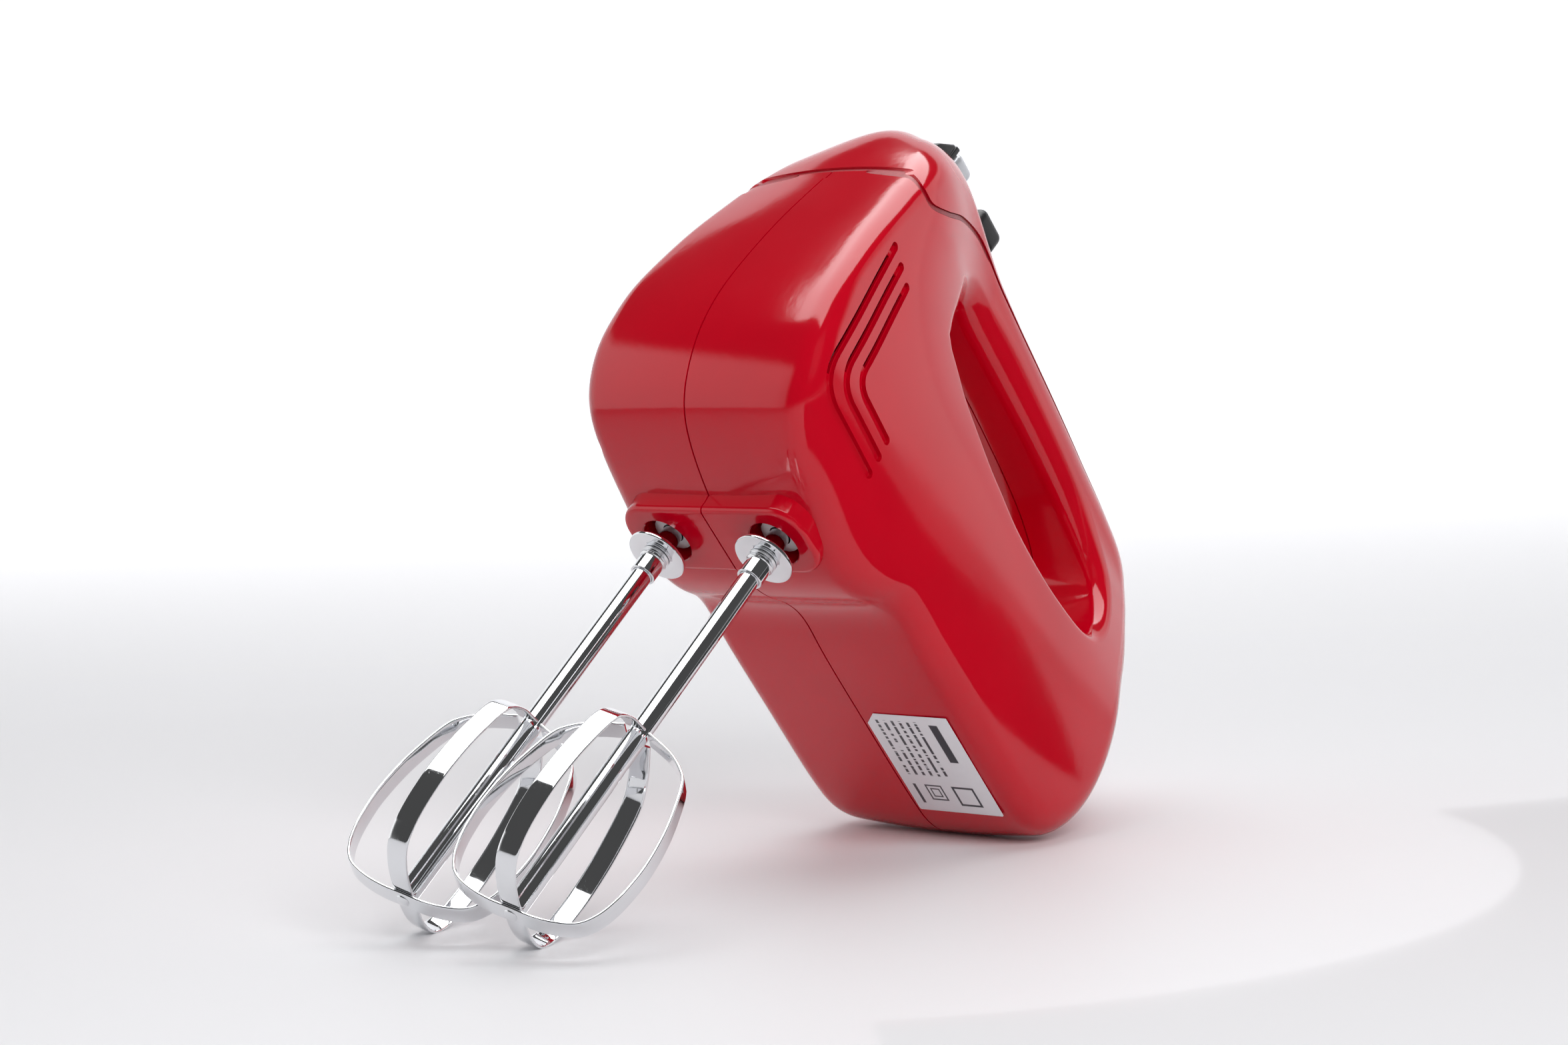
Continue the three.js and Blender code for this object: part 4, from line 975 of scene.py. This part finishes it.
def make_eject_button():
    """A black thumb piece whose top slopes down to the front, with a bright block behind it."""
    (x0, x1), half, top = EJECT["x"], EJECT["half_width"], EJECT["top"]
    split = x1 - EJECT["block"]

    def black(low, high, radius):
        points, faces = rounded_box(low, high, radius, 8)
        along = np.clip((points[:, 0] - x0) / (split - x0), 0, 1)
        high_up = np.clip((points[:, 2] - top) / EJECT["dropped"] + 1, 0, 1)
        drop = EJECT["drop"] * (1 - along) ** EJECT["bend"] * high_up
        return points - np.outer(drop, [0, 0, 1]), faces

    base = EJECT["base"]
    thumb = black((x0, -half, base), (split - 2.2, half, top - 0.3), 1.2)
    lip = black((split - 2.5, -half + 0.1, base + 0.2), (split - 0.25, half - 0.1, top - 0.2), 0.7)
    button = combine(make_object("eject_thumb_piece", *thumb), make_object("lip", *lip), "UNION")
    shade(button.data)
    hand_over(button, "eject_control", ["eject_button"], "black_plastic")
    block = rounded_box((split, -half, EJECT["block_base"]), (x1, half, top - 0.1), 2.2, 10)
    block = make_object("eject_bright_block", *block)
    hand_over(block, "eject_control", ["eject_trim"], "silver_plastic")


def make_slider():
    """A block with round edges and three notches across its top, on a stem through the slot."""
    (x0, x1), half, top = SLIDER["x"], SLIDER["half_width"], SLIDER["top"]
    knob = rounded_box((x0, -half, SLIDER["base"]), (x1, half, top), 2.6, 12)
    middle, stem, notch = (x0 + x1) / 2, SLIDER["stem"], SLIDER["notch"]
    stalk = rounded_box((middle - stem, -stem, SLIDER["stem_end"]),
                        (middle + stem, stem, SLIDER["base"] + 2), 0.5, 3)
    slider = combine(make_object("speed_slide_knob", *knob), make_object("stem", *stalk), "UNION")
    for x in np.linspace(x0 + 3.4, x1 - 3.4, 3):
        low, high = (x - notch, -half - 2, top - 0.5), (x + notch, half + 2, top + 3)
        cut(slider, rounded_box(low, high, 0.3, 4))
    shade(slider.data)
    hand_over(slider, "speed_control", ["speed_slider"], "black_plastic")


def make_inlet():
    r, bore, flange = INLET["radius"], INLET["bore"], INLET["flange"]
    profile = [(bore, -9), (r, -9), (r, 1.2), (flange, 1.2), (flange - 0.6, 3.2), (r + 0.8, 3.9),
               (bore, 3.4)]
    bush = revolved(rounded_profile(profile, 0.6, 6), (INLET["x"] + 0.2, 0, INLET["z"]), "x", 72)
    hand_over(make_object("cord_inlet_bush", *bush), "housing", ["cord_inlet"], "black_rubber")


LABEL = {"x": (78, 119), "y": (-32.6, -1.4), "z": 15.72, "cut": 4.2}


def make_label():
    """A thin foil with one corner cut off, mapped from 0 to 1 along its length and across it."""
    (x0, x1), (y0, y1), corner = LABEL["x"], LABEL["y"], LABEL["cut"]
    outline = np.array([(x0, y0), (x1 - 0.4, y0), (x1, y0 + 0.4), (x1, y1 - 0.4), (x1 - 0.4, y1),
                        (x0 + corner, y1), (x0, y1 - corner)])
    centre = outline.mean(0)
    rows = []
    for inset, lift in ((0.12, 0.12), (0, 0.08), (0, -0.02), (0.12, -0.08)):
        shrunk = outline + (centre - outline) * inset / 20
        rows.append(np.column_stack([shrunk, np.full(len(outline), LABEL["z"] + lift)]))
    label = make_object("rating_label", *capped(rows))
    spots = read(label.data.vertices, "co", 3)
    upright = (spots - ORIGIN) @ np.stack([BACK, ACROSS, UP]).T / MILLIMETRE
    flat = np.stack([(upright[:, 0] - x0) / (x1 - x0), (y1 - upright[:, 1]) / (y1 - y0)], -1)
    corners = read(label.data.loops, "vertex_index", 1, np.int32)[:, 0]
    layer = label.data.uv_layers.new(name="label")
    layer.data.foreach_set("uv", flat[corners].astype(np.float32).ravel())
    hand_over(label, "housing", ["rating_plate"], "label_foil")


def dress_nodes():
    """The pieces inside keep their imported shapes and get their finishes."""
    for name, node in frame["nodes"].items():
        if not node.hide_render:
            node.data.materials.clear()
            node.data.materials.append(finish_for(SLOT_OF[name]))


# ---------------------------------------------------------------- stage

CAMERA_PLACE = (-482.345, -622.436, -482.165)
CAMERA_RIGHT = (0.441436, -0.753055, 0.487896)
CAMERA_UP = (-0.727741, 0.017613, 0.685626)
LENS = 76.53
MIDDLE = Vector((0, 0, 0.1))


def turned(direction):
    return Vector(np.asarray(direction) @ np.stack([BACK, ACROSS, UP])).normalized()


def make_camera():
    lens = bpy.data.cameras.new("camera")
    lens.lens, lens.sensor_width, lens.sensor_fit = LENS, 36.0, "HORIZONTAL"
    lens.clip_start, lens.clip_end = 0.05, 60.0
    camera = link("camera", lens)
    right, up = turned(CAMERA_RIGHT), turned(CAMERA_UP)
    matrix = Matrix((right, up, right.cross(up))).transposed().to_4x4()
    matrix.translation = Vector(place([CAMERA_PLACE])[0])
    camera.matrix_world = matrix
    bpy.context.scene.camera = camera


def light_box(name, azimuth, elevation, distance, size, radiance):
    """A rectangular light that gloss doesn't show, facing the mixer's middle from a bearing, both
    angles in degrees. Its power is pi times its area times its radiance."""
    data = bpy.data.lights.new(name, "AREA")
    data.shape, data.size, data.size_y = "RECTANGLE", *size
    data.energy = math.pi * size[0] * size[1] * radiance
    lamp = link(name, data)
    bearing, rise = math.radians(azimuth), math.radians(elevation)
    level = math.cos(rise)
    away = Vector((level * math.cos(bearing), level * math.sin(bearing), math.sin(rise)))
    lamp.location = MIDDLE + distance * away
    lamp.rotation_euler = away.to_track_quat("Z", "Y").to_euler()
    lamp.visible_glossy = False


BACKDROP_BEARING = 41
WALL_BEARING = 57
WALL_TOP = 0.55


def make_backdrop():
    """A floor that runs back and turns up into a wall: flat, then a quarter circle, then upright."""
    near, far, bend, high, half = -5, 2.4, 1.2, 3.0, 6.0
    turn = np.linspace(0, np.pi / 2, 24)
    flat = np.linspace(near, far, 30)[:-1]
    run = np.concatenate([flat, far + bend * np.sin(turn), [far + bend]])
    rise = np.concatenate([0 * flat, bend * (1 - np.cos(turn)), [high]])
    across = np.linspace(-half, half, 21)
    points = np.stack(np.broadcast_arrays(run[:, None], across, rise[:, None]), -1)
    mesh = bpy.data.meshes.new("backdrop")
    mesh.from_pydata(points.reshape(-1, 3).tolist(), [], grid_faces(len(run), len(across)).tolist())
    mesh.shade_smooth()
    mesh.materials.append(white_floor(bpy.context.scene.mixer_colors))
    backdrop = link("backdrop", mesh)
    backdrop.rotation_euler.z = math.radians(BACKDROP_BEARING)


def gloss_card(name, points, columns, inputs):
    """A card that only gloss sees: it shapes the reflections and neither shows nor throws shade."""
    mesh = bpy.data.meshes.new(name)
    mesh.from_pydata(np.asarray(points).tolist(), [], grid_faces(2, columns).tolist())
    mesh.materials.append(Finish(name).surface(inputs))
    card = link(name, mesh)
    card.visible_camera = card.visible_diffuse = card.visible_shadow = False


def make_cards(glow):
    """A black card flat on the floor of the near side and a bright one overhead."""
    count = 30
    bearing = np.radians(np.linspace(-135, -32, count))
    ring = np.stack([np.cos(bearing), np.sin(bearing), 0 * bearing], -1)
    low = np.concatenate([reach * ring + [0, 0, 0.003] for reach in (0.2, 1.3)])
    gloss_card("black card", low, count, {"Base Color": (0.01, 0.01, 0.01, 1), "Roughness": 1.0})
    high = [(x, y, 1.25) for x in (-0.45, 1.0) for y in (-0.55, 0.72)]
    gloss_card("bright card", high, 2, {
        "Base Color": (0, 0, 0, 1), "Emission Color": (1, 1, 1, 1), "Emission Strength": glow})


def make_surroundings(bright, dim):
    """A white wall round the far half of the room up to a low height, and a dim room elsewhere."""
    room = Finish("white room", "worlds")
    x, y, z = room.place("Generated").parts(3)
    middle = math.radians(WALL_BEARING)
    facing = x * math.cos(middle) + y * math.sin(middle)
    wall = facing.above(-0.15, 0.2) * (1 - z.above(WALL_TOP, 0.03))
    color = room.mix(wall, (dim, dim, dim, 1), (bright, bright, bright, 1))
    glow = room.node("ShaderNodeBackground", None, {"Color": color})
    room.node("ShaderNodeOutputWorld", None, {"Surface": glow}, None)
    bpy.context.scene.world = room.owner


# ---------------------------------------------------------------- operators

class PieceOperator(bpy.types.Operator):
    bl_options = {"REGISTER", "UNDO"}


class MIXER_OT_shell(PieceOperator):
    """Makes both halves of the shell, the cover and the strip between them"""
    bl_idname = "mixer.shell"
    bl_label = "Shell, cover and seal"

    def execute(self, context):
        outer = body_object("outer", around=context.scene.mixer_shell.around)
        blank = combine(copy_of(outer, "blank"), lining("inner", WALL), "DIFFERENCE")
        for side in SIDES:
            make_half(side, outer, blank)
        make_cover(outer, blank)
        make_seal()
        for spent in (outer, blank):
            bpy.data.objects.remove(spent)
        return {"FINISHED"}


class MIXER_OT_beaters(PieceOperator):
    """Makes the two beaters: shafts, collars, sleeves, wire loops and rivets"""
    bl_idname = "mixer.beaters"
    bl_label = "Beaters"

    def execute(self, context):
        for side in SIDES:
            make_beater(side)
        return {"FINISHED"}


class MIXER_OT_controls(PieceOperator):
    """Makes the eject button and the speed slider"""
    bl_idname = "mixer.controls"
    bl_label = "Controls"

    def execute(self, context):
        make_eject_button()
        make_slider()
        return {"FINISHED"}


class MIXER_OT_fittings(PieceOperator):
    """Makes the cord inlet and the label"""
    bl_idname = "mixer.fittings"
    bl_label = "Inlet and label"

    def execute(self, context):
        make_inlet()
        make_label()
        return {"FINISHED"}


class MIXER_OT_inside(PieceOperator):
    """Gives the motor, the gearbox and the screws their finishes"""
    bl_idname = "mixer.inside"
    bl_label = "Finishes of the inner pieces"

    def execute(self, context):
        dress_nodes()
        return {"FINISHED"}


class MIXER_OT_stage(PieceOperator):
    """Makes the camera, the backdrop, the lights and the surroundings"""
    bl_idname = "mixer.stage"
    bl_label = "Stage"

    def execute(self, context):
        studio = context.scene.mixer_studio
        make_camera()
        make_backdrop()
        make_surroundings(studio.wall, studio.dim)
        light_box("overhead box", azimuth=30, elevation=80, distance=1.2, size=(1.3, 1.3),
                  radiance=studio.overhead)
        light_box("fill box", azimuth=-118, elevation=32, distance=1.5, size=(0.8, 0.8),
                  radiance=studio.fill)
        make_cards(studio.card)
        context.scene.view_settings.view_transform = "Standard"
        return {"FINISHED"}


STEPS = [MIXER_OT_stage, MIXER_OT_shell, MIXER_OT_beaters, MIXER_OT_controls, MIXER_OT_fittings,
         MIXER_OT_inside]


class MIXER_PT_panel(bpy.types.Panel):
    """Sizes and colours of the mixer, and a button for each group of pieces"""
    bl_idname = "MIXER_PT_panel"
    bl_label = "Hand mixer"
    bl_space_type = "VIEW_3D"
    bl_region_type = "UI"
    bl_category = "Mixer"

    def draw(self, context):
        layout = self.layout
        for group in (context.scene.mixer_shell, context.scene.mixer_colors, context.scene.mixer_studio):
            for name in group.__annotations__:
                layout.prop(group, name)
        for step in STEPS:
            layout.operator(step.bl_idname)


GROUPS = {"mixer_colors": MixerColors, "mixer_shell": MixerShell, "mixer_studio": MixerStudio}
CLASSES = [*GROUPS.values(), *STEPS, MIXER_PT_panel]


def register():
    for part in CLASSES:
        bpy.utils.register_class(part)
    for name, group in GROUPS.items():
        setattr(bpy.types.Scene, name, PointerProperty(type=group))


def unregister():
    for name in GROUPS:
        delattr(bpy.types.Scene, name)
    for part in reversed(CLASSES):
        bpy.utils.unregister_class(part)


def main():
    register()
    for step in STEPS:
        group, name = step.bl_idname.split(".")
        getattr(getattr(bpy.ops, group), name)()


if __name__ == "__main__":
    main()
